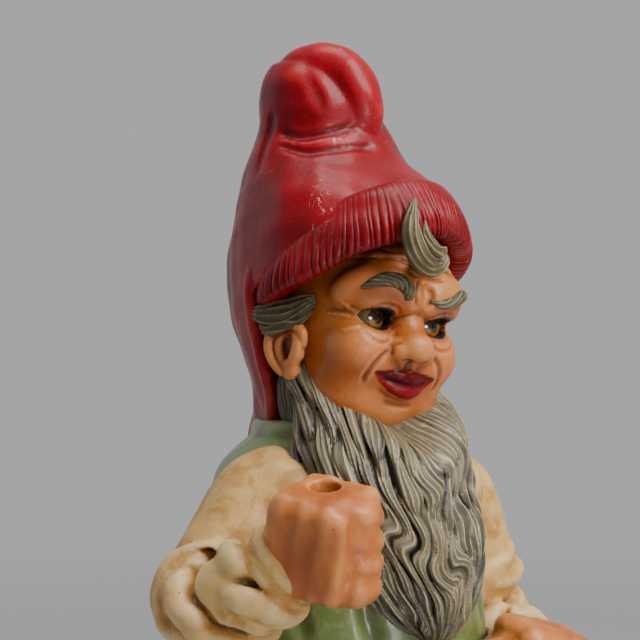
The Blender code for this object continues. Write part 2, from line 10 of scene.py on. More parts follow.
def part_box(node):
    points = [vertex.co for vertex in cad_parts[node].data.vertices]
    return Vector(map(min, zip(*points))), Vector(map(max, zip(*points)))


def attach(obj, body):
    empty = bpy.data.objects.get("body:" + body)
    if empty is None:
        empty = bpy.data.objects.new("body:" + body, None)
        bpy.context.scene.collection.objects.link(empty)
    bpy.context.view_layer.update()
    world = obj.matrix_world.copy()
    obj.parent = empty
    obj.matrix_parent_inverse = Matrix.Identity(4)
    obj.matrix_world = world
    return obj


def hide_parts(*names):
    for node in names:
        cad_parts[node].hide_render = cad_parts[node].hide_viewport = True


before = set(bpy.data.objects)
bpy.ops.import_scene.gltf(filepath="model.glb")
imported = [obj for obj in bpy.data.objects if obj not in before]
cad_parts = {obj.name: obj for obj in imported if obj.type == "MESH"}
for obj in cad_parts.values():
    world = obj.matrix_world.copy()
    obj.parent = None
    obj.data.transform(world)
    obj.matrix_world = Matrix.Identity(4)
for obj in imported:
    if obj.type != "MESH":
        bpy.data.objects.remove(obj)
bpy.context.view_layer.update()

# Sculpted pieces are worked in millimetres and placed in metres
MM = 0.001
FAR = 6.0  # the depth field is cut off this far from the surface, in mm

# The head's own frame, worked out from where the two eyes sit
HEAD_PITCH = math.radians(5)
EYE_X, EYE_Y, EYE_Z = 21.7, -36.5, 6.0
EYE_RADIUS = 12.5


def middle(node):
    """The middle of a CAD node's box, in metres."""
    low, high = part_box(node)
    return (low + high) / 2


def head_frame():
    """Where the head's own frame sits and how it is turned, from the CAD's two eyes."""
    left, right = middle("left_eye"), middle("right_eye")
    across = (left - right).normalized()
    roll = math.atan2(-across.z, across.x)
    turn = Matrix.Rotation(roll, 4, "Y") @ Matrix.Rotation(HEAD_PITCH, 4, "X")
    between = Vector((0.0, EYE_Y, EYE_Z)) * MM
    return Matrix.Translation((left + right) / 2 - turn @ between) @ turn


HEAD = head_frame() @ Matrix.Scale(MM, 4)
WORLD = Matrix.Scale(MM, 4)


# ---------------------------------------------------------------- clay

def smooth_path(points, steps):
    """Rows of numbers on a smooth curve through the given rows."""
    keys = np.array(points, dtype=float)
    if len(keys) == 2:
        t = np.linspace(0, 1, steps + 1)[:, None]
        return keys[0] * (1 - t) + keys[1] * t
    padded = np.vstack([2 * keys[0] - keys[1], keys, 2 * keys[-1] - keys[-2]])
    t = np.linspace(0, 1, steps, endpoint=False)[:, None]
    rows = []
    for a, b, c, d in zip(padded, padded[1:], padded[2:], padded[3:]):
        rows.append(0.5 * (2 * b + (c - a) * t + (2 * a - 5 * b + 4 * c - d) * t ** 2
                           + (3 * b - a - 3 * c + d) * t ** 3))
    rows.append(keys[-1:])
    return np.vstack(rows)


def turn_xyz(degrees):
    """A rotation matrix about X, then Y, then Z."""
    x, y, z = (math.radians(d) for d in degrees)
    turn = Matrix.Rotation(z, 3, "Z") @ Matrix.Rotation(y, 3, "Y") @ Matrix.Rotation(x, 3, "X")
    return np.array(turn)


def smooth_min(a, b, k):
    """The lesser of two depths, rounded where they are within k of each other."""
    if k <= 0:
        return np.minimum(a, b)
    h = np.maximum(k - np.abs(a - b), 0) / k
    return np.minimum(a, b) - h * h * k / 4


class Clay:
    """A depth field on a grid, negative inside. Strokes add clay, cut it away or press lines in."""

    def __init__(self, low, high, voxel):
        self.low = np.array(low, dtype=np.float32)
        self.voxel = voxel
        size = np.ceil((np.array(high) - self.low) / voxel).astype(int) + 1
        self.axes = [self.low[i] + voxel * np.arange(size[i], dtype=np.float32) for i in range(3)]
        self.depth = np.full(size, FAR, dtype=np.float32)

    def window(self, low, high):
        """The part of the grid between two corners: its slices, and x, y, z that broadcast."""
        slices = []
        for i in range(3):
            first = int(np.searchsorted(self.axes[i], low[i]))
            last = int(np.searchsorted(self.axes[i], high[i]))
            slices.append(slice(first, max(last, first)))
        x, y, z = (axis[part] for axis, part in zip(self.axes, slices))
        return tuple(slices), x[:, None, None], y[None, :, None], z[None, None, :]

    def blend(self, part, shape, k, cut=False):
        """Adds or cuts a shape's depth values in part of the grid, softened over k mm."""
        old = self.depth[part]
        new = -smooth_min(-old, shape, k) if cut else smooth_min(old, shape, k)
        self.depth[part] = np.clip(new, -FAR, FAR)

    def egg(self, centre, radii, k, turn=None, cut=False):
        """An ellipsoid, turned by degrees about X, Y and Z."""
        centre, radii = np.array(centre, dtype=float), np.array(radii, dtype=float)
        reach = (radii if turn is None else np.full(3, radii.max())) + k + self.voxel
        part, x, y, z = self.window(centre - reach, centre + reach)
        x, y, z = x - centre[0], y - centre[1], z - centre[2]
        if turn is not None:
            m = turn_xyz(turn).T
            x, y, z = (m[i][0] * x + m[i][1] * y + m[i][2] * z for i in range(3))
        ratio = np.sqrt((x / radii[0]) ** 2 + (y / radii[1]) ** 2 + (z / radii[2]) ** 2)
        slope = np.sqrt((x / radii[0] ** 2) ** 2 + (y / radii[1] ** 2) ** 2
                        + (z / radii[2] ** 2) ** 2)
        shape = ratio * (ratio - 1) / np.maximum(slope, 1e-4)
        self.blend(part, shape.astype(np.float32), k, cut)

    def block(self, centre, half, edge, k, turn):
        """A block with rounded edges, half its size given, turned by degrees about X, Y and Z."""
        centre, half = np.array(centre, dtype=float), np.array(half, dtype=float)
        reach = np.full(3, np.linalg.norm(half)) + k + self.voxel
        part, x, y, z = self.window(centre - reach, centre + reach)
        x, y, z = x - centre[0], y - centre[1], z - centre[2]
        m = turn_xyz(turn).T
        gaps = [np.abs(m[i][0] * x + m[i][1] * y + m[i][2] * z) - (half[i] - edge) for i in range(3)]
        outside = np.sqrt(sum(np.maximum(gap, 0) ** 2 for gap in gaps))
        inside = np.minimum(np.maximum(np.maximum(gaps[0], gaps[1]), gaps[2]), 0)
        self.blend(part, (outside + inside - edge).astype(np.float32), k)

    def roll(self, rows, k, cut=False, steps=6):
        """A roll of clay along x, y, z, radius rows."""
        path = smooth_path(rows, steps)
        for a, b in zip(path, path[1:]):
            radius = max(a[3], b[3])
            reach = radius + k + self.voxel
            part, x, y, z = self.window(np.minimum(a[:3], b[:3]) - reach,
                                        np.maximum(a[:3], b[:3]) + reach)
            x, y, z = x - a[0], y - a[1], z - a[2]
            along = b[:3] - a[:3]
            length = max(float(along @ along), 1e-6)
            t = np.clip((x * along[0] + y * along[1] + z * along[2]) / length, 0, 1)
            x, y, z = x - t * along[0], y - t * along[1], z - t * along[2]
            shape = np.sqrt(x * x + y * y + z * z) - (a[3] + (b[3] - a[3]) * t)
            self.blend(part, shape.astype(np.float32), k, cut)

    def press(self, rows, k):
        """A line pressed into the clay."""
        self.roll(rows, k, cut=True)

    def levels(self, sections):
        """A body through level sections: height, middle x, y, half width, front and back reach."""
        rows = smooth_path(sections, 12)
        low, high = rows[0][0], rows[-1][0]
        part, x, y, z = self.window((-1e9, -1e9, low), (1e9, 1e9, high))
        cx, cy, half, front, back = (
            np.interp(z, rows[:, 0], rows[:, i]).astype(np.float32) for i in range(1, 6))
        dx, dy = x - cx, y - cy
        reach = np.where(dy < 0, front, back)
        ratio = np.sqrt((dx / half) ** 2 + (dy / reach) ** 2)
        slope = np.sqrt((dx / half ** 2) ** 2 + (dy / reach ** 2) ** 2)
        shape = ratio * (ratio - 1) / np.maximum(slope, 1e-4)
        shape = np.maximum(shape, np.maximum(low - z, z - high))
        self.blend(part, shape.astype(np.float32), 0)

    def mesh(self, name, place):
        """The surface as an object. place takes millimetres to the row frame."""
        grid = vdb.FloatGrid(FAR)
        grid.copyFromArray(self.depth)
        points, _, quads = grid.convertToPolygons(isovalue=0.0)
        points = self.low + points * self.voxel
        return new_object(name, points, quads.astype(int)[:, ::-1], place)

    def handmade(self, name, rounds, depth, size, seed, place=WORLD):
        """The surface as an object, smoothed a few rounds and then dented in slow waves."""
        obj = self.mesh(name, place)
        ease(obj, rounds)
        dent(obj, depth, size, seed)
        return obj


class Levels:
    """Points on a body of level sections, by degrees round from the front and by height."""

    def __init__(self, sections):
        self.rows = smooth_path(sections, 12)

    def section(self, z):
        """Middle x and y, half width, front and back reach at a height or an array of heights."""
        return [np.interp(z, self.rows[:, 0], self.rows[:, i]) for i in range(1, 6)]

    def at(self, degrees, z, lift=0.0):
        x, y, half, front, back = self.section(z)
        angle = math.radians(degrees)
        across, ahead = math.sin(angle), math.cos(angle)
        reach = front if ahead > 0 else back
        return np.array([x + (half + lift) * across, y - (reach + lift) * ahead, z])

    def track(self, rows, lift=0.0):
        """Rows of degrees, height and radius as x, y, z and radius on the surface."""
        return [(*self.at(degrees, z, lift), radius) for degrees, z, radius in rows]


def unit(rows):
    return rows / np.maximum(np.linalg.norm(rows, axis=-1, keepdims=True), 1e-9)


LOCK_RINGS = 56
LOCK_AROUND = 48


def combed(rows, out, strands, flat, relief, slant, seed):
    """A lock of hair along x, y, z, radius rows, flattened, with sharp strands combed along it.

    out points off the head. Gives rings of points, and how deep in a groove each point is.
    """
    path = smooth_path(rows, 12)
    steps = np.linspace(0, len(path) - 1, LOCK_RINGS)
    path = np.column_stack([np.interp(steps, np.arange(len(path)), row) for row in path.T])
    along = unit(np.gradient(path[:, :3], axis=0))
    side = unit(np.cross(along, np.array(out, dtype=float)))
    up = np.cross(side, along)
    turn = np.linspace(0, 2 * math.pi, LOCK_AROUND, endpoint=False)
    across, rise = np.cos(turn)[None, :], np.sin(turn)[None, :]
    t = np.linspace(0, 1, LOCK_RINGS)[:, None]
    phase = across * strands / 2 + slant * t + 0.22 * np.sin(9 * t + seed + 2.0 * across)
    ridge = 1 - np.abs(np.sin(math.pi * phase)) ** 0.8
    radius = path[:, 3:]
    size = np.clip(radius / 4, 0.15, 1)
    outer = np.clip(rise + 0.35, 0, 1) ** 0.5
    lift = rise * radius / flat + relief * size * (ridge - 0.4) * outer
    rings = path[:, None, :3] + side[:, None, :] * (across * radius)[:, :, None]
    rings = rings + up[:, None, :] * lift[:, :, None]
    # Darker on the side towards the head, as painted shade, and lightest on the strands' crests
    groove = 0.62 - 0.62 * ridge * outer + 0.25 * (1 - outer)
    return rings, groove


def tubes(name, parts, place):
    """One piece of closed tubes, each given as rings of points and a groove value for each."""
    points, faces, grooves = [], [], []
    start = 0
    for rings, groove in parts:
        count, around = rings.shape[:2]
        here = np.arange(around)
        for ring in range(count - 1):
            a = start + ring * around + here
            b = start + ring * around + (here + 1) % around
            faces.append(np.column_stack([a, b, b + around, a + around]))
        points.append(rings.reshape(-1, 3))
        grooves.append(np.broadcast_to(groove, (count, around)).ravel())
        start += count * around
    obj = new_object(name, np.concatenate(points), np.concatenate(faces), place)
    close_ends(obj)
    number(obj, "groove", np.concatenate(grooves))
    return obj


def close_ends(obj):
    """Fills the open ends of a tube."""
    bm = bmesh.new()
    bm.from_mesh(obj.data)
    bmesh.ops.holes_fill(bm, edges=[edge for edge in bm.edges if edge.is_boundary])
    bmesh.ops.recalc_face_normals(bm, faces=bm.faces)
    bm.to_mesh(obj.data)
    bm.free()
    obj.data.shade_smooth()


def new_object(name, points, faces, place):
    """A smooth mesh object from points and faces, with its faces turned outwards."""
    corners = np.array(points, dtype=np.float64)
    turn = np.array(place)
    corners = corners @ turn[:3, :3].T + turn[:3, 3]
    mesh = bpy.data.meshes.new(name)
    mesh.vertices.add(len(corners))
    mesh.vertices.foreach_set("co", corners.astype(np.float32).ravel())
    faces = np.array(faces)
    mesh.loops.add(faces.size)
    mesh.loops.foreach_set("vertex_index", faces.ravel().astype(np.int32))
    mesh.polygons.add(len(faces))
    width = faces.shape[1]
    mesh.polygons.foreach_set("loop_start", np.arange(0, faces.size, width, dtype=np.int32))
    mesh.update(calc_edges=True)
    if signed_volume(corners, faces) < 0:
        mesh.flip_normals()
    mesh.shade_smooth()
    obj = bpy.data.objects.new(name, mesh)
    bpy.context.scene.collection.objects.link(obj)
    return obj


def signed_volume(corners, faces):
    a = corners[faces[:, 0]]
    total = 0.0
    for i in range(1, faces.shape[1] - 1):
        b, c = corners[faces[:, i]], corners[faces[:, i + 1]]
        total += np.einsum("ij,ij->i", a, np.cross(b, c)).sum()
    return total


def read(items, key, width, kind):
    """One property of a mesh's items as an array, width numbers for each item."""
    flat = np.empty(len(items) * width, dtype=kind)
    items.foreach_get(key, flat)
    return flat.reshape(-1, width)


def points_of(obj):
    return read(obj.data.vertices, "co", 3, np.float32).astype(np.float64)


def normals_of(obj):
    return read(obj.data.vertex_normals, "vector", 3, np.float32).astype(np.float64)


def edges_of(obj):
    return read(obj.data.edges, "vertices", 2, np.int32)


def move_points(obj, points):
    obj.data.vertices.foreach_set("co", points.astype(np.float32).ravel())
    obj.data.update()


def averaged(values, edges, rounds):
    """Values at each point, averaged with their neighbours' a number of times."""
    values = np.array(values, dtype=np.float64)
    count = np.bincount(edges.ravel(), minlength=len(values)).astype(float)
    count[count == 0] = 1
    for _ in range(rounds):
        total = np.bincount(edges[:, 0], values[edges[:, 1]], len(values))
        total += np.bincount(edges[:, 1], values[edges[:, 0]], len(values))
        values = (values + total / count) / 2
    return values


def ease(obj, rounds):
    """Smooths a mesh a little, as a wet finger does."""
    points, edges = points_of(obj), edges_of(obj)
    move_points(obj, np.column_stack([averaged(points[:, i], edges, rounds) for i in range(3)]))


def number(obj, name, values):
    """A number at each point, which materials read by name."""
    layer = obj.data.attributes.get(name) or obj.data.attributes.new(name, "FLOAT", "POINT")
    layer.data.foreach_set("value", np.clip(values, 0, 1).astype(np.float32))


def hollows(obj, scale, rounds):
    """Stores how sunk each point is: 0 on a crest, 0.5 on the flat, 1 in a groove. The paints use it
    for light crests and painted shade in the grooves.
    """
    points, edges, normals = points_of(obj), edges_of(obj), normals_of(obj)
    fine = np.column_stack([averaged(points[:, i], edges, rounds) for i in range(3)])
    wide = np.column_stack([averaged(points[:, i], edges, rounds * 5) for i in range(3)])
    sunk = np.einsum("ij,ij->i", fine - points, normals)
    sunk += 0.5 * np.einsum("ij,ij->i", wide - points, normals)
    number(obj, "groove", 0.5 + sunk / scale)


def near_path(points, rows, softness):
    """1 on a path of x, y, z rows and falling to 0 at softness away, for painting lines."""
    path = smooth_path(np.array(rows)[:, :3], 6)
    best = np.full(len(points), 1e9)
    for a, b in zip(path, path[1:]):
        along = b - a
        t = np.clip((points - a) @ along / max(float(along @ along), 1e-9), 0, 1)
        gap = points - a - t[:, None] * along
        best = np.minimum(best, np.einsum("ij,ij->i", gap, gap))
    return np.clip(1 - np.sqrt(best) / softness, 0, 1)


def ripple(points, size, seed):
    """Soft unrepeating waves between -1 and 1, about size long, over points."""
    rng = np.random.default_rng(seed)
    total = np.zeros(len(points))
    for _ in range(6):
        way = rng.normal(size=3)
        way /= np.linalg.norm(way)
        total += np.sin(points @ way * (2 * math.pi / size) * rng.uniform(0.7, 1.5)
                        + rng.uniform(0, 6.3))
    return total / 3


def sided(name, side):
    """The name of the left (1) or right (-1) one of a pair."""
    return name + ("_left" if side > 0 else "_right")


def finished(obj, material, slot, *nodes):
    """Gives a piece its material and ties it to the frame."""
    obj.data.materials.clear()
    obj.data.materials.append(material)
    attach(obj, "root")
    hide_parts(*nodes)


def grooved(obj, scale, rounds, *rest):
    """Finishes a piece once its grooves are stored for its paint."""
    hollows(obj, scale, rounds)
    finished(obj, *rest)


# ---------------------------------------------------------------- materials

class Paint:
    """Builds one painted-clay material from noise, wear and the piece's own groove values."""

    def __init__(self, name):
        self.material = bpy.data.materials.new(name)
        self.material.use_nodes = True
        self.tree = self.material.node_tree
        self.shader = self.tree.nodes["Principled BSDF"]
        self.place = self.node("ShaderNodeTexCoord").outputs["Object"]

    def node(self, kind, **settings):
        made = self.tree.nodes.new(kind)
        for key, value in settings.items():
            setattr(made, key, value)
        return made

    def link(self, start, end):
        self.tree.links.new(start, end)

    def feed(self, socket, value):
        if isinstance(value, (int, float)):
            socket.default_value = value
        elif isinstance(value, tuple):
            socket.default_value = (*value, 1.0)
        else:
            self.link(value, socket)

    def noise(self, size, detail, rough=0.55, warp=0.0, stretch=(1, 1, 1)):
        """Cloudy noise with features about size metres across."""
        mapping = self.node("ShaderNodeMapping")
        mapping.inputs["Scale"].default_value = stretch
        self.link(self.place, mapping.inputs["Vector"])
        made = self.node("ShaderNodeTexNoise")
        looks = {"Scale": 1 / size, "Detail": detail, "Roughness": rough, "Distortion": warp}
        for key, value in looks.items():
            made.inputs[key].default_value = value
        self.link(mapping.outputs["Vector"], made.inputs["Vector"])
        return made.outputs["Fac"]

    def dots(self, size, low, high):
        """1 in small round dots scattered about size metres apart and 0 between them."""
        made = self.node("ShaderNodeTexVoronoi")
        made.inputs["Scale"].default_value = 1 / size
        self.link(self.place, made.inputs["Vector"])
        return self.ramp(made.outputs["Distance"], low, high, 1, 0)

    def ramp(self, value, low, high, start=0.0, end=1.0):
        """value mapped so that low gives start and high gives end, smoothly."""
        made = self.node("ShaderNodeMapRange", interpolation_type="SMOOTHSTEP")
        self.link(value, made.inputs["Value"])
        limits = {"From Min": low, "From Max": high, "To Min": start, "To Max": end}
        for key, limit in limits.items():
            made.inputs[key].default_value = limit
        return made.outputs["Result"]

    def attribute(self, name):
        return self.node("ShaderNodeAttribute", attribute_name=name).outputs["Fac"]

    def maths(self, operation, a, b):
        made = self.node("ShaderNodeMath", operation=operation)
        self.feed(made.inputs[0], a)
        self.feed(made.inputs[1], b)
        return made.outputs[0]

    def times(self, a, b):
        return self.maths("MULTIPLY", a, b)

    def minus(self, a, b):
        return self.maths("SUBTRACT", a, b)

    def ragged(self, groove, fine, amount):
        """Groove values with a ragged edge."""
        grain = self.times(self.minus(fine, 0.5), amount)
        return self.maths("ADD", groove, grain)

    def mix(self, amount, a, b):
        made = self.node("ShaderNodeMix", data_type="RGBA")
        self.feed(made.inputs["Factor"], amount)
        self.feed(made.inputs[6], a)
        self.feed(made.inputs[7], b)
        return made.outputs[2]

    def colour(self, value):
        self.feed(self.shader.inputs["Base Color"], value)

    def surface(self, roughness, bump_height, coat, coat_roughness=0.2, depth=0.0004):
        """Roughness, a fine relief from a 0 to 1 height, and a layer of varnish."""
        self.feed(self.shader.inputs["Roughness"], roughness)
        bump = self.node("ShaderNodeBump")
        bump.inputs["Distance"].default_value = depth
        self.feed(bump.inputs["Height"], bump_height)
        self.link(bump.outputs["Normal"], self.shader.inputs["Normal"])
        self.shader.inputs["Coat Weight"].default_value = coat
        self.shader.inputs["Coat Roughness"].default_value = coat_roughness


def painted_clay(name, base, shade, light, dark, gloss, coat, wear=None, pits=True,
                 crest=0.35, groove_shade=0.75, edges=(0.47, 0.22, 0.56, 0.92)):
    """Old varnished paint: base colour drifting in clouds to a second tone, lighter on the crests
    (dry-brushed paint on the hair, a painted highlight on the other pieces) and painted shade in the
    grooves.
    """
    paint = Paint(name)
    cloud = paint.noise(0.045, 5)
    fine = paint.noise(0.006, 6, 0.65)
    groove = paint.attribute("groove")
    colour = paint.mix(paint.ramp(cloud, 0.38, 0.68), base, shade)
    colour = paint.mix(paint.ramp(fine, 0.45, 0.8, 0, 0.35), colour, light)
    # Lighter on the crests: dry-brushed paint on the hair, a painted highlight on the other pieces
    up = paint.times(paint.ramp(groove, edges[0], edges[1]), crest)
    colour = paint.mix(up, colour, light)
    # Darker in the grooves: painted shade
    ragged = paint.ragged(groove, fine, 0.35)
    down = paint.times(paint.ramp(ragged, edges[2], edges[3]), groove_shade)
    colour = paint.mix(down, colour, dark)
    if wear is not None:
        patch = paint.ramp(paint.noise(0.06, 3), 0.46, 0.62)
        rub = paint.times(paint.ramp(paint.noise(0.010, 8, 0.7, 0.6), 0.60, 0.70), patch)
        colour = paint.mix(rub, colour, wear)
    height = fine
    if pits:
        sparse = paint.ramp(paint.noise(0.03, 2), 0.50, 0.56)
        hole = paint.times(paint.dots(0.0075, 0.035, 0.065), sparse)
        colour = paint.mix(hole, colour, dark)
        height = paint.minus(fine, hole)
    paint.colour(colour)
    rough = paint.ramp(fine, 0.3, 0.75, gloss - 0.10, gloss + 0.14)
    rough = paint.maths("ADD", rough, paint.times(down, 0.25))
    paint.surface(rough, height, coat)
    return paint.material


# ---------------------------------------------------------------- camera and light

VIEW_AZIMUTH = math.radians(-38)
VIEW_ELEVATION = math.radians(2.0)
VIEW_DISTANCE = 1.45
VIEW_WIDTH = 0.384  # what the picture's side spans at the head
VIEW_TARGET = Vector((-0.0150, 0.0117, 0.4368))


def add_camera():
    data = bpy.data.cameras.new("camera")
    data.sensor_width = 36.0
    data.lens = 36.0 * VIEW_DISTANCE / VIEW_WIDTH
    data.clip_end = 50.0
    camera = bpy.data.objects.new("camera", data)
    bpy.context.scene.collection.objects.link(camera)
    back = Vector((
        math.sin(VIEW_AZIMUTH) * math.cos(VIEW_ELEVATION),
        -math.cos(VIEW_AZIMUTH) * math.cos(VIEW_ELEVATION),
        math.sin(VIEW_ELEVATION),
    ))
    camera.location = VIEW_TARGET + back * VIEW_DISTANCE
    camera.rotation_euler = (-back).to_track_quat("-Z", "Y").to_euler()
    bpy.context.scene.camera = camera


def area_light(name, place, size, power, colour=(1, 1, 1), aim=(0, 0, 0.42)):
    data = bpy.data.lights.new(name, "AREA")
    data.shape = "RECTANGLE"
    data.size, data.size_y = size
    data.energy = power
    data.color = colour
    light = bpy.data.objects.new(name, data)
    bpy.context.scene.collection.objects.link(light)
    light.location = place
    light.rotation_euler = (Vector(aim) - Vector(place)).to_track_quat("-Z", "Y").to_euler()


def light_room(tree):
    """A grey room, brighter behind the gnome than in front, so that the varnish keeps its darks."""
    place = tree.nodes.new("ShaderNodeTexCoord")
    facing = tree.nodes.new("ShaderNodeVectorMath")
    facing.operation = "DOT_PRODUCT"
    facing.inputs[1].default_value = (0.45, 0.85, 0.15)
    tree.links.new(place.outputs["Generated"], facing.inputs[0])
    spread = tree.nodes.new("ShaderNodeMapRange")
    spread.interpolation_type = "SMOOTHSTEP"
    spread.inputs["From Min"].default_value = -0.55
    spread.inputs["From Max"].default_value = 0.65
    tree.links.new(facing.outputs["Value"], spread.inputs["Value"])
    mix = tree.nodes.new("ShaderNodeMix")
    mix.data_type = "RGBA"
    mix.inputs[6].default_value = (0.170, 0.175, 0.185, 1)
    mix.inputs[7].default_value = (0.445, 0.448, 0.455, 1)
    tree.links.new(spread.outputs["Result"], mix.inputs["Factor"])
    tree.links.new(mix.outputs[2], tree.nodes["Background"].inputs["Color"])


def add_studio():
    """A plain pale floor that fades into the backdrop, and soft lights."""
    world = bpy.data.worlds.new("studio")
    bpy.context.scene.world = world
    world.use_nodes = True
    light_room(world.node_tree)
    bpy.ops.mesh.primitive_circle_add(vertices=96, radius=3.0, fill_type="NGON")
    floor = bpy.context.object
    floor.name = "floor"
    paint = Paint("floor")
    soft = paint.noise(0.5, 3)
    paint.colour(paint.mix(paint.ramp(soft, 0.3, 0.7), (0.47, 0.47, 0.475), (0.50, 0.50, 0.505)))
    paint.shader.inputs["Roughness"].default_value = 0.8
    # Fades with distance from the object, so that no horizon shows
    far = paint.node("ShaderNodeVectorMath", operation="LENGTH")
    paint.link(paint.place, far.inputs[0])
    fade = paint.ramp(far.outputs["Value"], 0.5, 2.6)
    paint.feed(paint.shader.inputs["Alpha"], paint.minus(1.0, fade))
    floor.data.materials.append(paint.material)
    area_light("key", (0.35, -1.15, 1.45), (0.9, 0.9), 30, (1.0, 0.985, 0.96))
    area_light("top", (0.05, -0.2, 1.9), (1.0, 1.0), 16)
    area_light("low_front", (-0.1, -1.4, 0.30), (0.3, 0.3), 4.5, (1.0, 0.97, 0.93), (0, 0, 0.36))
    area_light("rim", (-0.9, 1.3, 0.9), (0.6, 1.2), 1.2, (0.96, 0.98, 1.0))


# ---------------------------------------------------------------- head

def both(rows, side):
    """Rows given for the left side, put on either side."""
    return [(side * row[0], *row[1:]) for row in rows]


def mirrored(rows):
    """Rows up to the middle line, and on to the other side."""
    return [*rows, *both(rows[-2::-1], -1)]


BROW_LINES = (
    ((-33, -47, 38.5, 0.5), (-20, -55, 42.5, 0.8), (-8, -58, 40, 0.8), (4, -59, 38.5, 0.7),
     (17, -56, 40, 0.8), (30, -49, 37.0, 0.5)),
    ((-26, -51, 45.5, 0.4), (-12, -56.5, 46.0, 0.7), (0, -57.5, 43.0, 0.7),
     (14, -56.5, 45, 0.7), (27, -50, 42.0, 0.4)),
    ((-12, -60, 36.0, 0.4), (-4, -61, 34.0, 0.7), (5, -61, 33.5, 0.7), (14, -59, 34.5, 0.4)),
)
FROWN_LINES = (
    ((-4.2, -59.5, 18.0, 0.1), (-5.6, -59.5, 24.0, 0.4), (-3.5, -60, 31, 0.1)),
    ((4.0, -59.5, 18.0, 0.1), (5.4, -59.5, 23.0, 0.4), (4.6, -60, 28, 0.1)),
)
# Eye openings as lens shapes: half width, how far up and down the middle reaches, and how far the
# opening lies outside the ball's middle
EYE_HALF = 11.2
EYE_UP, EYE_DOWN = 6.4, 4.9
EYE_OUTWARD = 1.2
SMILE_FOLD = ((18.0, -60, -11, 0.1), (22.0, -57.0, -15, 0.35), (25.5, -53, -20.5, 0.45),
              (27.0, -50, -27, 0.25), (26.5, -48.5, -31, 0.05))
MOUTH_LINE = mirrored(((-22.5, -49.0, -24.0, 0.4), (-13, -57.0, -27.6, 0.7),
                       (-4, -60.8, -29.9, 0.8), (0, -61.0, -29.4, 0.8)))
UPPER_LIP = mirrored(((-21.0, -48.0, -23.4, 0.9), (-12, -54.6, -24.6, 2.5),
                      (-4.0, -58.0, -24.9, 3.4), (0, -58.2, -25.8, 3.0)))
LOWER_LIP = mirrored(((-20.5, -48.4, -25.8, 1.0), (-11, -54.6, -31.0, 3.2), (0, -57.4, -33.2, 4.2)))
# The lips' outline: x from the middle, and the top, parting and bottom there
LIP_OUTLINE = np.array((
    (0.0, -22.0, -29.5, -37.8), (4.0, -20.6, -29.9, -37.4), (11.0, -21.2, -28.0, -34.9),
    (17.0, -22.2, -26.0, -30.2), (23.0, -23.4, -23.9, -24.6)))
CROW_FEET = (
    ((35.0, -38, 8.5, 0.3), (38.5, -33, 11, 0.7), (42.0, -27, 12.5, 0.2)),
    ((35.5, -38, 4.6, 0.3), (39.5, -32, 5.2, 0.8), (43.0, -25, 5.0, 0.2)),
    ((35, -39, 0.8, 0.3), (38.5, -34, -1.4, 0.7), (42.0, -28, -3.4, 0.2)),
)


def eye_gap(x, z, side):
    """How far a point is outside the eye opening's outline, seen from the front, in mm."""
    across = side * (side * (EYE_X + EYE_OUTWARD) - x)
    up = z - EYE_Z + across * 0.05
    gaps = []
    for height, way in ((EYE_UP, 1), (EYE_DOWN, -1)):
        radius = (EYE_HALF ** 2 + height ** 2) / (2 * height)
        gaps.append(np.sqrt(across ** 2 + (up + way * (radius - height)) ** 2) - radius)
    return np.maximum(gaps[0], gaps[1])


def on_face(clay, x, z):
    """The y of the clay's front surface at a place seen from the front, in mm."""
    i, k = (int(round((value - clay.low[axis]) / clay.voxel)) for value, axis in ((x, 0), (z, 2)))
    column = clay.depth[i, :, k]
    j = int(np.argmax(column < 0))
    share = column[j - 1] / (column[j - 1] - column[j])
    return clay.axes[1][j - 1] + clay.voxel * share


def draw(clay, rows, k, raised=False):
    """A line drawn along the front surface, pressed in or raised. Each row's y is found here."""
    path = smooth_path(rows, 5)
    sunk = 0.4 if raised else -0.2
    placed = [(x, on_face(clay, x, z) + sunk * radius, z, radius) for x, _, z, radius in path]
    clay.roll(placed, k, not raised, 1)


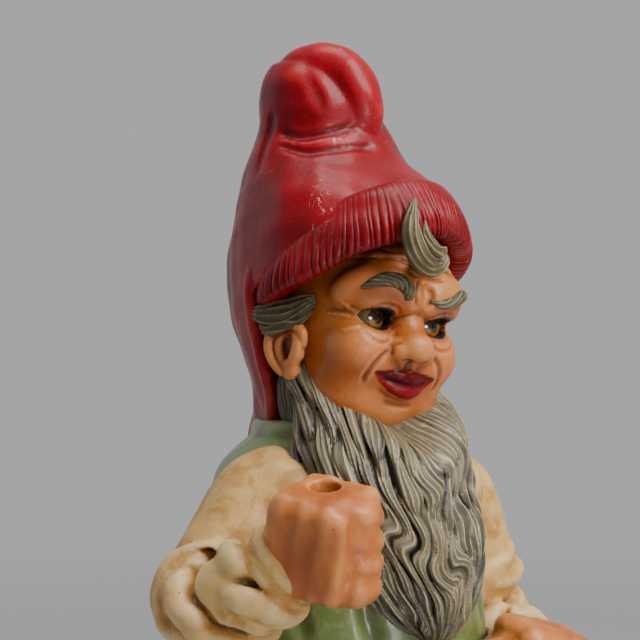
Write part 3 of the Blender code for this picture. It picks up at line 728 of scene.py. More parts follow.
def sculpt_head():
    """The face, ears and neck as one body, with the lids open over the balls."""
    clay = Clay((-66, -86, -82), (66, 64, 60), 1.1)
    clay.egg((0, 2, 14), (49, 57, 50), 0)
    clay.egg((0, -14, -4), (44, 43, 44), 8)
    clay.egg((0, -13, -32), (40, 38, 28), 10)
    clay.roll(((0, 8, -35, 33), (0, 8, -78, 30)), 8)
    clay.egg((0, -44, 33), (31, 15, 20), 12)
    clay.egg((0, -47, -24), (21, 11, 14), 8)  # the mound the lips sit on
    clay.egg((0, -38, -45), (22, 15.5, 14), 9)
    for side in (-1, 1):
        clay.egg((side * 23.5, -31, -37), (17, 17, 17), 12)
        clay.egg((side * 21.7, -53, 7), (13.5, 8.5, 9.5), 9, cut=True)
        clay.egg((side * 25.5, -41.5, -12), (17.5, 16.0, 15.5), 14, turn=(0, side * 10, 0))
        clay.roll(both(((6, -55, 19, 4.0), (18, -52.5, 26, 5.5), (30, -45, 25, 5.5),
                        (38, -35, 18, 4)), side), 9)
        clay.egg((side * 22, -50, 15.5), (13, 7.5, 7.0), 7)  # the full lid under the brow
    # Nose
    clay.roll(((0, -45.5, 18, 5.2), (0, -46.5, 9, 5.0), (0, -54.0, 0, 6.6)), 7)
    clay.egg((0, -62.0, -6.8), (11.0, 10.2, 9.2), 5)
    for side in (-1, 1):
        clay.egg((side * 9.6, -58.0, -9.6), (6.6, 8.0, 6.2), 3.5)
        draw(clay, both(((12.5, 0, -5.0, 0.2), (16.4, 0, -7.5, 0.5), (15.8, 0, -13, 0.3)), side), 2.0)
        clay.egg((side * 4.9, -63.0, -15.2), (2.9, 4.2, 2.6), 1.2, turn=(24, 0, side * 14), cut=True)
    clay.roll(((0, -60.5, -17, 0.8), (0, -60.2, -21.5, 1.0)), 4, cut=True)
    # Eyes: lids over the balls, then the opening
    for side in (-1, 1):
        ball = (side * EYE_X, EYE_Y, EYE_Z)
        clay.egg(ball, (14.8, 14.2, 12.4), 4.0)
        draw(clay, both(((11.0, 0, 11.0, 0.2), (17, 0, 14.6, 0.5), (26, 0, 15.0, 0.5),
                         (34, 0, 9.5, 0.2)), side), 1.6)
        draw(clay, both(((16.5, 0, -4.5, 0.1), (22, 0, -6.6, 0.35), (29, 0, -5.4, 0.35),
                         (33, 0, -2, 0.1)), side), 1.4)
        open_eye(clay, side)
        clay.egg(ball, [EYE_RADIUS + 0.25] * 3, 0.4, cut=True)
        for line in CROW_FEET:
            draw(clay, both(line, side), 1.2, True)
        draw(clay, both(SMILE_FOLD, side), 2.4)
        clay.egg((side * 28.5, -44.5, -31.5), (3.4, 3.2, 3.8), 5)  # the small bump beside the fold
    for line in BROW_LINES:
        draw(clay, line, 1.6)
    for line in FROWN_LINES:
        draw(clay, line, 3.0)
    # Mouth
    clay.roll(UPPER_LIP, 1.6)
    clay.roll(LOWER_LIP, 1.6)
    draw(clay, MOUTH_LINE, 0.7)
    draw(clay, ((-10, 0, -40.8, 0.1), (0, 0, -41.8, 0.4), (10, 0, -40.8, 0.1)), 2.2)
    for side in (-1, 1):
        sculpt_ear(clay, side)
    return clay


def open_eye(clay, side):
    """Cuts the almond opening between the lids."""
    part, x, y, z = clay.window(
        (side * EYE_X - 15, EYE_Y - 22, EYE_Z - 9), (side * EYE_X + 15, EYE_Y - 3, EYE_Z + 9))
    shape = np.maximum(eye_gap(x, z, side), y - (EYE_Y - 7.2))
    clay.blend(part, shape.astype(np.float32), 0.7, cut=True)


EAR_MIDDLE = (48.6, -11.0, -20.0)


def sculpt_ear(clay, side):
    """A rim, an inner fold, a bowl, a lobe and the small flap in front."""
    mx, my, mz = EAR_MIDDLE

    def at(rows):
        return [(side * (mx + x), my + y, mz + z, *rest) for x, y, z, *rest in rows]

    def spot(x, y, z):
        return at(((x, y, z),))[0]

    clay.egg(spot(0, 2, 0), (6.0, 13.0, 15.5), 4, turn=(12, 0, side * 18))
    clay.egg(spot(0.5, -2, -12.5), (4.4, 5.6, 5.6), 3)
    clay.roll(at(((0, -8.5, 4, 2.0), (2.0, -8.5, 11, 2.4), (4.0, -2.5, 14.8, 2.6),
                  (6.5, 6.0, 13.2, 2.7), (8.8, 12.5, 7, 2.6), (8.8, 13.0, -1, 2.4),
                  (7, 9, -8.5, 2.3), (4, 2.5, -14, 2.3))), 1.2)
    clay.egg(spot(7.0, 1.5, 1.5), (5.0, 6.8, 9.2), 2.0, turn=(12, 0, side * 18), cut=True)
    clay.roll(at(((3.5, 6.5, 9, 1.8), (5.0, 8.0, 2.5, 2.1), (4.0, 6.0, -4.5, 2.0),
                  (2.5, 1.5, -9, 1.8))), 2)
    clay.egg(spot(3, -1, -0.5), (4.4, 3.8, 5.2), 1.8, cut=True)
    clay.egg(spot(1.2, -7.5, -1.5), (3.2, 3.0, 3.8), 1.5)


def head_local(points):
    inverse = np.array(HEAD.inverted())
    return points @ inverse[:3, :3].T + inverse[:3, 3]


def share_out(points, centre, radii):
    """How far each point is from a centre: 1 on an ellipsoid of these radii."""
    return np.linalg.norm((points - centre) / radii, axis=1)


def paint_head(head):
    """Where the lips, lid lines and cheeks are painted, and where painted shade lies in the creases,
    the ear's bowl and under the nose.
    """
    local = head_local(points_of(head))
    x, y, z = local.T
    aside, *heights = LIP_OUTLINE.T
    top, parting, bottom = (np.interp(np.abs(x), aside, height) for height in heights)
    inside = np.minimum(top - z, z - bottom)
    inside[(y > -43) | (np.abs(x) > 23.0)] = -5
    number(head, "lips", 0.5 + inside * 1.1)
    number(head, "upper_lip", 0.5 + (z - parting) * 0.8)
    number(head, "mouth", near_path(local, MOUTH_LINE, 1.5) * 1.5)
    # Each of these is painted where any of its layers is
    lines, rims, creases, blushes = [], [], [], []
    for side in (-1, 1):
        gap = np.where(y < -38, eye_gap(x, z, side), 9)
        above = z > EYE_Z - 1.0
        width = np.where(above, 1.5, 1.25)
        across = side * (side * EYE_X - x)
        width = width * np.clip((EYE_HALF + 0.8 - np.abs(across)) / 2.4, 0, 1)
        lines.append(np.clip((width - np.abs(gap - 0.4)) * 1.6, 0, 1) * (width > 0.05))
        rims.append(np.clip(1 - np.abs(gap - 2.3) / 0.9, 0, 1) * ~above)
        rims.append(np.clip(-gap * 2 - 1, 0, 1))
        blushes.append(1 - share_out(local, (side * 29, -54, -14), (16, 14, 12)))
        # Painted shade in the smile fold, in the lid's hollow under the brow, in the ear's bowl and
        # between the crow's feet
        under_brow_shade = share_out(local, (side * 21, -54, 17), (19, 12, 10))
        ear = np.array(EAR_MIDDLE) * (side, 1, 1) + (side * 3, 0, 0)
        creases.append(0.40 * near_path(local, both(SMILE_FOLD, side), 6.0))
        creases.append(0.85 * np.clip(1.25 - under_brow_shade, 0, 1))
        creases.append(1 - share_out(local, ear, (9, 8, 11)))
        for low, high in zip(CROW_FEET, CROW_FEET[1:]):
            between = (np.array(low) + np.array(high)) / 2
            creases.append(0.7 * near_path(local, both(between, side), 2.0))
    # Painted shade in the lines across the brow and between the eyes, and under the nose
    for crease in (*BROW_LINES, *FROWN_LINES):
        creases.append(0.55 * near_path(local, crease, 1.8))
    creases.append(1 - share_out(local, (0, -62, -14), (15, 10, 5)))
    for name, layers in (("eye_line", lines), ("eye_rim", rims), ("crease", creases),
                         ("blush", blushes)):
        number(head, name, np.max(layers, axis=0))


# Skin colours: a painted highlight for the crests, the paint and its cloudy second tone, and painted
# shade for the grooves
SKIN_PAINTED_HIGHLIGHT = (0.74, 0.300, 0.095)
SKIN = (0.560, 0.168, 0.024)
SKIN_SHADE = (0.400, 0.092, 0.010)
SKIN_GROOVE_SHADE = (0.110, 0.024, 0.006)


def skin_material(with_face=True):
    """Weathered skin with dark freckles, a painted highlight on the crests and painted shade in the
    grooves and creases, and what paint_head stored when it is the face's.
    """
    paint = Paint("face_skin" if with_face else "hand_skin")
    cloud = paint.noise(0.030, 5)
    fine = paint.noise(0.0045, 6, 0.65)
    groove = paint.attribute("groove")
    colour = paint.mix(paint.ramp(cloud, 0.36, 0.66), SKIN, SKIN_SHADE)
    # A painted highlight on the crests
    colour = paint.mix(paint.ramp(groove, 0.48, 0.25, 0, 0.60), colour, SKIN_PAINTED_HIGHLIGHT)
    if with_face:
        blush = paint.times(paint.attribute("blush"), 0.40)
        colour = paint.mix(blush, colour, (0.66, 0.170, 0.050))
    # Painted shade in the creases that paint_head stored
    crease = paint.times(paint.attribute("crease"), 0.75)
    colour = paint.mix(crease, colour, (0.27, 0.060, 0.012))
    # Painted shade in the grooves
    down = paint.ramp(paint.ragged(groove, fine, 0.30), 0.56, 0.95, 0, 0.80)
    colour = paint.mix(down, colour, SKIN_GROOVE_SHADE)
    sparse = paint.ramp(paint.noise(0.02, 2), 0.52, 0.58)
    freckle = paint.times(paint.dots(0.0060, 0.05, 0.10), sparse)
    colour = paint.mix(paint.times(freckle, 0.85), colour, (0.060, 0.028, 0.018))
    if with_face:
        mottle = paint.ramp(fine, 0.35, 0.7)
        lower = paint.mix(mottle, (0.190, 0.002, 0.005), (0.260, 0.004, 0.009))
        upper = paint.mix(mottle, (0.075, 0.001, 0.002), (0.130, 0.002, 0.004))
        lip = paint.mix(paint.attribute("upper_lip"), lower, upper)
        colour = paint.mix(paint.attribute("lips"), colour, lip)
        colour = paint.mix(paint.attribute("mouth"), colour, (0.030, 0.003, 0.004))
        rim = paint.times(paint.attribute("eye_rim"), 0.6)
        colour = paint.mix(rim, colour, (0.33, 0.035, 0.020))
        colour = paint.mix(paint.attribute("eye_line"), colour, (0.014, 0.012, 0.011))
    paint.colour(colour)
    rough = paint.ramp(fine, 0.3, 0.75, 0.38, 0.56)
    if with_face:
        less = paint.times(paint.attribute("lips"), 0.32)
        paint.feed(paint.shader.inputs["Specular IOR Level"], paint.minus(0.42, less))
    paint.surface(rough, paint.minus(fine, freckle), 0.16, 0.22, 0.00045)
    return paint.material


# ---------------------------------------------------------------- eyes

def glass_eye_material():
    """Painted from the eye's own centre: pupil, brown iris with a painted crescent of amber light along
    its lower edge, and a yellowed white painted dark as shade in the socket.
    """
    paint = Paint("glass_eye")
    ring = paint.attribute("ring")
    lower = paint.attribute("lower")
    streak = paint.noise(0.0012, 4, 0.6)
    cloud = paint.ramp(paint.noise(0.006, 4), 0.35, 0.7)
    # A yellowed white, darkened as painted shade in the socket
    shaded_white = paint.mix(cloud, (0.26, 0.185, 0.075), (0.17, 0.105, 0.038))
    brown = paint.mix(paint.ramp(streak, 0.35, 0.65), (0.030, 0.012, 0.004), (0.090, 0.034, 0.010))
    # A painted crescent of amber light along the iris's lower edge, as light through glass
    painted_light_crescent = paint.times(lower, paint.ramp(streak, 0.25, 0.6, 0.5, 1))
    amber = paint.mix(painted_light_crescent, brown, (0.62, 0.26, 0.040))
    colour = paint.mix(paint.ramp(ring, 0.185, 0.215), (0.004, 0.003, 0.003), amber)
    colour = paint.mix(paint.ramp(ring, 0.48, 0.52), colour, (0.010, 0.006, 0.004))
    colour = paint.mix(paint.ramp(ring, 0.535, 0.565), colour, shaded_white)
    paint.colour(colour)
    paint.surface(paint.ramp(streak, 0.2, 0.8, 0.05, 0.10), streak, 1.0, 0.03, 0.00002)
    return paint.material


def add_eyes():
    """Solid glass balls with the iris turned a little to the gnome's left and down."""
    material = glass_eye_material()
    gaze = Vector((0.10, -1.0, 0.02)).normalized()
    for side, sign in (("left", 1), ("right", -1)):
        bm = bmesh.new()
        bmesh.ops.create_icosphere(bm, subdivisions=5, radius=EYE_RADIUS)
        mesh = bpy.data.meshes.new(side + "_glass_eye")
        bmesh.ops.translate(bm, vec=(sign * EYE_X, EYE_Y, EYE_Z), verts=bm.verts)
        bm.to_mesh(mesh)
        bm.free()
        eye = bpy.data.objects.new(side + "_glass_eye", mesh)
        bpy.context.scene.collection.objects.link(eye)
        points = points_of(eye) - (sign * EYE_X, EYE_Y, EYE_Z)
        way = points / EYE_RADIUS
        facing = np.clip(way @ np.array(gaze), -1, 1)
        angle = np.arccos(facing)
        # The cornea stands a little proud
        bulge = np.clip(1 - angle / 0.55, 0, 1) ** 2 * 0.5
        move_points(eye, points * (1 + bulge / EYE_RADIUS)[:, None] + (sign * EYE_X, EYE_Y, EYE_Z))
        number(eye, "ring", angle)
        # The lower part of the iris carries a painted crescent of light
        iris = np.clip((angle - 0.22) / 0.10, 0, 1) * np.clip(0.15 - way[:, 2] * 4, 0, 1)
        number(eye, "lower", iris)
        eye.data.transform(HEAD)
        mesh.shade_smooth()
        finished(eye, material, "eye_glass", side + "_eye")


# ---------------------------------------------------------------- cap

CUFF_TOP = 503.5  # height of the band's middle over the brow
CUFF_FALL = 39.0  # how much lower it is over the ears
CAP = (
    (350, 0, 0, 50, 40, 87), (366, 0, 0, 49, 40, 81), (382, 0, 0, 51, 40, 71),
    (398, 0, 0, 55, 44, 67), (418, 0, 0, 60, 50, 76), (440, 0, 0, 64, 60, 87),
    (467, 0, 0, 64, 68, 91), (494, 0, 0, 62, 68, 86), (515, 0, 4, 57, 50, 78),
    (533, 0, 22, 49, 43, 48), (551, 0, 27, 41, 37, 38), (568, -6, 28, 34, 35, 35),
    (582, -13, 28, 25, 27, 27), (592, -16, 28, 16, 18, 18),
)
HOOD_EDGE = ((60, 17, 476), (61, 19, 455), (58, 17, 432), (55, 14, 410), (50, 14, 390),
             (47, 17, 370), (47, 22, 352))
# Long folds down the hood, and the creases round the top, as degrees, height, radius
HOOD_FOLDS = (
    ((158, 462, 0.3), (155, 442, 0.9), (157, 416, 1.5), (160, 388, 1.7), (162, 352, 1.4)),
    ((-164, 468, 0.3), (-161, 446, 0.8), (-163, 416, 1.5), (-166, 386, 1.7), (-166, 352, 1.4)),
    ((178, 430, 0.3), (181, 412, 1.0), (177, 388, 1.6), (179, 352, 1.4)),
)
TOP_CREASES = (
    ((-74, 549, 1.2), (-56, 546, 1.1), (-30, 549, 1.0), (-8, 552, 0.4)),
    ((-72, 541, 1.1), (-50, 537, 1.0), (-20, 539, 0.8), (4, 540, 0.3)),
    ((-88, 558, 1.0), (-94, 542, 0.9), (-102, 524, 0.3)),
    ((60, 562, 0.8), (75, 548, 1.2), (95, 528, 0.6)),
    ((110, 556, 0.8), (140, 545, 1.2), (170, 540, 0.5)),
)


def sculpt_cap():
    """The stocking cap with its folded-over end and the hood hanging behind."""
    clay = Clay((-78, -84, 344), (78, 104, 610), 1.8)
    body = Levels(CAP)
    clay.levels(CAP)
    # The end folds over from the back and falls forward
    clay.roll(((-18, 30, 580, 15), (-14, 22, 587, 14), (-5, 11, 587, 14), (3, 3, 577, 14),
               (6, 0, 562, 13), (7, -1, 548, 8)), 3)
    # A groove where the fold's side meets the top
    clay.press(((-31, 6, 592, 3.0), (-30, 0, 580, 3.4), (-27, -6, 566, 3.0), (-22, -14, 552, 1.2)), 5)
    for fold in TOP_CREASES:
        clay.press(body.track(fold), 4)
    for fold in HOOD_FOLDS:
        clay.press(body.track(fold, 1.2), 9)
    cut_face_opening(clay)
    for side in (-1, 1):
        # The hood's edge is rounded, and thins out under the cuff
        edge = [(side * x, y, z, 0.5 if z > 470 else 3.2) for x, y, z in HOOD_EDGE]
        clay.roll(edge, 3)
    return clay.handmade("stocking_cap", 2, 0.0005, 0.026, 11)


def cut_face_opening(clay):
    """Opens the hood in front of its edge, below the cuff."""
    part, x, y, z = clay.window((-1e9, -1e9, 0), (1e9, 60, 506))
    edge = np.array(HOOD_EDGE)[::-1]
    front = np.interp(z, edge[:, 2], edge[:, 1])
    angle = np.arctan2(x, -y)
    shape = np.maximum(y - front, z - (CUFF_TOP - CUFF_FALL * (1 - np.cos(angle))))
    clay.blend(part, shape.astype(np.float32), 1.5, cut=True)


def dent(obj, depth, size, seed):
    """Slow uneven waves over a surface, as hand-finished clay has."""
    points = points_of(obj)
    move_points(obj, points + normals_of(obj) * (ripple(points, size, seed) * depth)[:, None])


def red_paint(name, groove_shade):
    """Red gloss with a painted sheen on the crests and painted shade in the grooves, set per piece,
    speckled, scratched and rubbed.
    """
    paint = Paint(name)
    cloud = paint.noise(0.050, 5)
    fine = paint.noise(0.0035, 6, 0.65)
    groove = paint.attribute("groove")
    colour = paint.mix(paint.ramp(cloud, 0.36, 0.66), (0.270, 0.0008, 0.006), (0.165, 0.0006, 0.004))
    # A painted sheen: lighter red on the crests
    colour = paint.mix(paint.ramp(groove, 0.48, 0.30, 0, 0.55), colour, (0.42, 0.008, 0.020))
    # Painted shade in the grooves
    down = paint.ramp(paint.ragged(groove, fine, 0.25), 0.56, 0.95, 0, groove_shade)
    colour = paint.mix(down, colour, (0.060, 0.001, 0.005))
    # Rubbed speckles and scratches down to the pale undercoat
    speckle = paint.ramp(paint.noise(0.0022, 6, 0.7, 0.8), 0.63, 0.68)
    patch = paint.ramp(paint.noise(0.045, 3), 0.55, 0.64)
    colour = paint.mix(paint.times(speckle, patch), colour, (0.72, 0.26, 0.16))
    streak = paint.noise(0.012, 3, 0.5, 1.5, (1.0, 1.0, 0.25))
    scratch = paint.times(paint.ramp(streak, 0.505, 0.500), paint.ramp(streak, 0.490, 0.495))
    scratch = paint.times(scratch, paint.ramp(paint.noise(0.03, 2), 0.60, 0.66))
    colour = paint.mix(paint.times(scratch, 0.8), colour, (0.80, 0.40, 0.26))
    worn = paint.ramp(paint.noise(0.02, 5), 0.50, 0.62)
    rub = paint.times(paint.ramp(groove, 0.40, 0.20), worn)
    colour = paint.mix(paint.times(rub, 0.45), colour, (0.60, 0.070, 0.022))
    paint.colour(colour)
    rough = paint.ramp(fine, 0.3, 0.75, 0.30, 0.44)
    paint.surface(rough, paint.minus(fine, speckle), 0.10, 0.14, 0.00026)
    paint.shader.inputs["Specular IOR Level"].default_value = 0.24
    return paint.material


# ---------------------------------------------------------------- cuff

CUFF_HALF_ANGLE = math.radians(105)
CUFF_COLUMNS = 660
CUFF_ROWS = 56
CUFF_RIBS = 66
CUFF_THICK, CUFF_TALL = 11.6, 17.0  # half of each, in mm
CUFF_RIGHT, CUFF_LEFT, CUFF_FRONT = 55.0, 52.0, 64.0  # from the head's axis to the band's middle


def cuff_middle(angle):
    """The band's middle line, round the forehead from ear to ear and lower at the sides."""
    height = CUFF_TOP - CUFF_FALL * (1 - math.cos(angle))
    aside = CUFF_RIGHT if angle < 0 else CUFF_LEFT
    return np.array([aside * math.sin(angle), -CUFF_FRONT * math.cos(angle), height])


def build_cuff():
    """A thick band with uneven ribs running across it, deepest along its lower edge."""
    rng = np.random.default_rng(5)
    starts = np.cumsum(rng.uniform(0.55, 1.45, CUFF_RIBS + 1))
    starts = (starts - starts[0]) / (starts[-1] - starts[0])
    deep = rng.uniform(0.35, 1.30, CUFF_RIBS + 1)
    sway = rng.uniform(-0.6, 0.6, CUFF_RIBS + 1)
    around = np.linspace(0, 2 * math.pi, CUFF_ROWS, endpoint=False)
    low_side = np.clip(0.55 - 0.75 * np.sin(around), 0.22, 1.0)
    rings, grooves = [], []
    for column in range(CUFF_COLUMNS + 1):
        t = column / CUFF_COLUMNS
        angle = CUFF_HALF_ANGLE * (2 * t - 1)
        outward = np.array([math.sin(angle), -math.cos(angle), 0.0])
        up = np.array([0, 0, 1.0]) - 0.42 * outward
        fade = math.sqrt(max(0.02, 1 - abs(2 * t - 1) ** 7))
        thick, tall = CUFF_THICK * fade, (CUFF_TALL + 3.5 * math.sin(angle) ** 2) * fade
        slide = 0.0050 * np.sin(around) * (1.0 + 0.6 * math.sin(19 * t))
        slide += 0.0016 * np.sin(3 * around + 40 * t)
        rib = np.interp(t + slide, starts, np.arange(CUFF_RIBS + 1))
        whole = np.clip(np.floor(rib), 0, CUFF_RIBS - 1).astype(int)
        part = rib - whole
        swell = np.sin(math.pi * np.clip(part + sway[whole] * part * (1 - part), 0, 1)) ** 0.7
        height = (swell - 0.7) * 1.9 * deep[whole] * low_side * fade
        radial = np.outer(np.cos(around), outward) * (thick + height)[:, None]
        # A squarer outline than an ellipse, so that the band looks turned over
        square = 1 + 0.10 * np.sin(2 * around) ** 2
        radial += np.outer(np.sin(around), up) * ((tall + 0.6 * height) * square)[:, None]
        rings.append(cuff_middle(angle) + radial)
        # Grooves read darker towards the band's underside, as painted shade, and the top stays lighter,
        # as a painted highlight
        grooves.append(0.40 + 0.55 * (1 - swell) * np.minimum(deep[whole], 1) * low_side)
    cuff = tubes("ribbed_cuff", [(np.array(rings), np.array(grooves))], WORLD)
    dent(cuff, 0.0006, 0.026, 21)
    return cuff


# ---------------------------------------------------------------- hair

BEARD = (
    (250, 2, -70, 7, 7, 7), (264, 1, -64, 24, 23, 20), (285, -1, -50, 40, 41, 30),
    (310, -3, -40, 51, 49, 34), (335, -4, -30, 54, 54, 34), (360, -3, -22, 53, 54, 26),
    (382, -1, -14, 50, 53, 14), (400, 0, -10, 50, 48, 10), (416, 0, -6, 50, 40, 10),
)
BEARD_FOOT = 252.0
BEARD_HALF = 94  # how far round the beard's worked front goes to each side, in degrees
BEARD_ROUND = 56.0  # mm round the beard for each radian
BEARD_STRAND = 4.3  # width of the strands under the locks
BEARD_ROWS = 200
BEARD_COLUMNS = 340
# Layers of locks, the lowest first: width, length, height and how far it lies over the one below
BEARD_LAYERS = ((17, 66, 4.0, 0.0), (14, 54, 4.6, 0.8), (12, 46, 4.6, 1.4), (15, 38, 4.2, 1.8))


def beard_top(degrees):
    """The height at which the beard starts, under the chin and up the jaw to the ears."""
    right = np.interp(-degrees, (0, 22, 46, 60, 70, 84), (369, 376, 385, 398, 408, 414))
    left = np.interp(degrees, (0, 22, 46, 60, 70, 84), (369, 376, 386, 393, 398, 403))
    return np.where(degrees < 0, right, left)


def chance(*numbers):
    """An unrepeating value from 0 to 1 for each set of whole numbers."""
    mixed = sum(value * factor for value, factor in zip(numbers, (12.9898, 78.233, 37.719)))
    return np.modf(np.abs(np.sin(mixed) * 43758.5453))[0]


def beard_relief(around, below):
    """How far the locks stand off the beard's body, and how deep in a groove each point is.

    around is millimetres round from the middle and below is millimetres under the jaw.
    """
    pull = np.where(around < 0, 0.55, 0.25) * (1 - np.exp(-below / 45))
    flow = around * (1 + pull)
    # The waves are calmer at the sides and near the jaw
    calm = np.interp(np.abs(around), (0, 35, 60), (1, 1, 0.35))
    calm = calm * (0.35 + 0.65 * np.clip(below / 32, 0, 1))
    flow = flow + 4.6 * calm * np.sin(below / 8.6 + 2.4 * np.sin(around / 15) + 0.8)
    short = np.sin(below / 5.0 + 1.4 * np.sin(around / 10))
    flow = flow + 3.4 * calm * np.clip(below / 40, 0, 1) * short
    ridge = 1 - np.abs(np.sin(math.pi * flow / BEARD_STRAND)) ** 0.8
    lift = 1.1 * ridge - 1.0
    groove = 0.90 - 0.60 * ridge
    for layer, (width, length, height, over) in enumerate(BEARD_LAYERS):
        across = flow / width + 0.37 * layer
        lane = np.floor(across)
        stretch = length * (0.8 + 0.4 * chance(lane, layer))
        down = (below + 8 + length * chance(lane, layer + 9)) / stretch
        cell = np.floor(down)
        t = down - cell
        wide = np.sin(math.pi * t ** 0.8) ** 0.9 * 0.5
        sway = 0.10 * np.sin(2 * math.pi * t + 6 * chance(lane, cell, layer))
        q = (across - lane - 0.5 + sway * (0.5 - wide) * 2) / np.maximum(wide, 0.02)
        dome = np.sqrt(np.clip(1 - q * q, 0, 1))
        count = 2 + np.floor(2.2 * chance(lane, cell, layer + 4))
        strand = q * count / 2 + 0.25 * np.sin(5 * t + lane)
        ridge = 1 - np.abs(np.sin(math.pi * strand)) ** 0.8
        rise = np.sin(math.pi * t ** 1.25) ** 0.8
        tall = height * (0.6 + 0.8 * chance(lane, cell, layer + 2))
        here = over + tall * dome ** 0.8 * rise + 1.15 * ridge * np.minimum(dome * 1.5, 1)
        here = np.where((np.abs(q) < 1) & (rise > 0.12), here, -9)
        # Darker towards each lock's edge, as painted shade where it lies over the one below
        own = 0.68 - 0.66 * ridge * np.minimum(dome * 1.6, 1) + 0.75 * (1 - dome) ** 1.5
        groove = np.where(here > lift, own, groove)
        lift = np.maximum(lift, here)
    return lift, groove


def build_beard():
    """The beard as one body: a worked front of overlapping locks, and a plain hidden back."""
    body = Levels(BEARD)
    front = np.linspace(-BEARD_HALF, BEARD_HALF, BEARD_COLUMNS)
    behind = np.linspace(BEARD_HALF, 360 - BEARD_HALF, 12)[1:-1]
    degrees = np.concatenate([front, behind])
    corner = beard_top(np.array([BEARD_HALF, -BEARD_HALF]))
    top = np.concatenate([beard_top(front), np.linspace(*corner, len(behind))])
    share = np.linspace(0, 1, BEARD_ROWS)[:, None]
    z = top - (top - BEARD_FOOT) * share
    x, y, half, ahead, back = body.section(z)
    angle = np.radians(degrees)
    reach = np.where(np.cos(angle) > 0, ahead, back)
    out = unit(np.stack([np.sin(angle) / half, -np.cos(angle) / reach, 0 * z], axis=-1))
    below = top - z
    lift, groove = beard_relief(np.broadcast_to(angle * BEARD_ROUND, z.shape), below)
    worked = np.abs(degrees) <= BEARD_HALF
    rooted = np.clip(below / 7, 0, 1) ** 0.6
    tip = np.clip((z - BEARD_FOOT) / 14, 0, 1) ** 0.5
    lift = np.where(worked, (lift - 1.2) * (0.25 + 0.75 * rooted) * tip, -2.0)
    # The beard starts flush with the jaw and swells out below it
    sunk = np.interp(np.abs(degrees), (0, 22, 46, 60, BEARD_HALF, 180), (21, 17, 10, 8, 7, 3))
    lift = lift - sunk * (1 - np.sin(np.clip(below / 20, 0, 1) * math.pi / 2)) ** 1.2
    points = np.stack([x + half * np.sin(angle), y - reach * np.cos(angle), z], axis=-1)
    # The whole beard also swells in slow waves
    slow = 1.2 * np.sin(below / 13 + 2.2 * np.sin(angle * 2.3)) * rooted * tip
    points = points + out * (lift + slow)[..., None]
    # The hidden back gets a groove value of 0.8, so it is painted dark as shade
    return tubes("beard_locks", [(points, np.where(worked, groove, 0.8))], WORLD)


def temple_locks(side):
    """A thick swathe of hair combed back over the ear from under the cuff."""
    swathe = both(((47, -25, 450, 3.0), (50.5, -20, 448, 5.6), (55.5, -10, 443.5, 7.2),
                   (60, 0, 441.5, 7.6), (62.5, 8, 442, 6.4), (62, 13, 443, 3.5)), side)
    wisp = both(((49, -25, 443.5, 0.6), (52.5, -18, 438.5, 2.8), (57.0, -10, 436.0, 3.6),
                 (60.5, 0, 433, 4.2), (62.0, 8, 434.5, 2.0)), side)
    curl = both(((55, -13, 437, 0.6), (58.0, -6, 432.5, 2.6), (60.5, 2, 430.5, 2.6),
                 (61.5, 8, 431, 0.8)), side)
    parts = [combed(swathe, (side, -0.25, 0.1), 4, 1.9, 1.9, 0.8, side),
             combed(wisp, (side, -0.25, -0.1), 2, 1.5, 1.3, -0.5, side),
             combed(curl, (side, -0.25, -0.1), 2, 1.4, 1.0, 0.5, side)]
    return tubes(sided("temple_locks", side), parts, WORLD)


def neck_locks(side):
    """Hair behind and below the ear, down to the collar."""
    parts = []
    for i in range(3):
        y = -15 + 8.0 * i
        rows = both(((46, y + 3, 414, 1.5), (48.5, y + 2, 402, 5.4), (48.5, y, 388, 6.2),
                     (47, y - 2, 375, 5.4), (46, y - 3, 364, 2.0)), side)
        parts.append(combed(rows, (side, 0, 0), 4, 1.7, 0.8, 0.3, i))
    return tubes(sided("neck_locks", side), parts, WORLD)


# The big curl, the small one lying in it and the root on the forehead
FORELOCK = (
    ((-14.5, -76, 509, 0.6), (-19.0, -78.5, 500, 3.6), (-21.7, -81, 490, 6.0),
     (-18.5, -82, 479, 7.4), (-10, -80.5, 471.5, 7.6), (-1.0, -79, 470.5, 6.4),
     (4.0, -78.5, 474, 4.2), (5.4, -78, 478, 1.0)),
    ((-14, -84, 496, 0.6), (-14.5, -86, 488, 3.0), (-10, -87, 480.5, 4.0), (-3.5, -86, 478.5, 3.4),
     (2.0, -84, 480.5, 0.8)),
    ((6, -55, 474, 5.0), (3, -62, 472, 6.6), (-3, -71, 470.5, 7.4), (-8, -78, 470.5, 7.4),
     (-12, -83, 471, 6.0)),
)
# For each of them: the way off the head, strands, relief and seed
FORELOCK_LOOKS = (((-0.25, -1, 0.05), 4, 1.9, 0.5), ((-0.1, -1, 0.2), 2, 1.2, 2.0),
                  ((0.2, -0.3, -1), 3, 1.2, 1.0))


def forelock():
    """A horn-shaped curl with a second, smaller one lying in it, and its root on the forehead."""
    parts = [combed(rows, out, strands, 1.25, relief, 0.4, seed)
             for rows, (out, strands, relief, seed) in zip(FORELOCK, FORELOCK_LOOKS)]
    return tubes("forelock_curl", parts, WORLD)


# Distance from the middle, height and thickness. The right brow is raised, the left one waves
BROWS = {
    1: ((6.0, 21.0, 1.4), (12, 20.4, 2.8), (20, 22.0, 3.7), (29, 26.0, 3.9), (37, 27.0, 3.2),
        (43, 23.5, 1.6)),
    -1: ((12.5, 20.0, 2.6), (14.5, 25.5, 4.2), (20, 29.4, 4.7), (27, 29.6, 4.3), (33, 27.0, 3.4),
         (38.5, 22.5, 1.3)),
}


def eyebrow(side, face):
    """A thick brow combed into slanting tufts."""
    rows = [(side * x, on_face(face, side * x, z) + 0.1 * radius, z, radius)
            for x, z, radius in BROWS[side]]
    part = combed(rows, (side * 0.35, -1, 0.1), 3, 1.05, 1.0, 6.0 * side, 1.0)
    return tubes(sided("combed_brow", side), [part], HEAD)


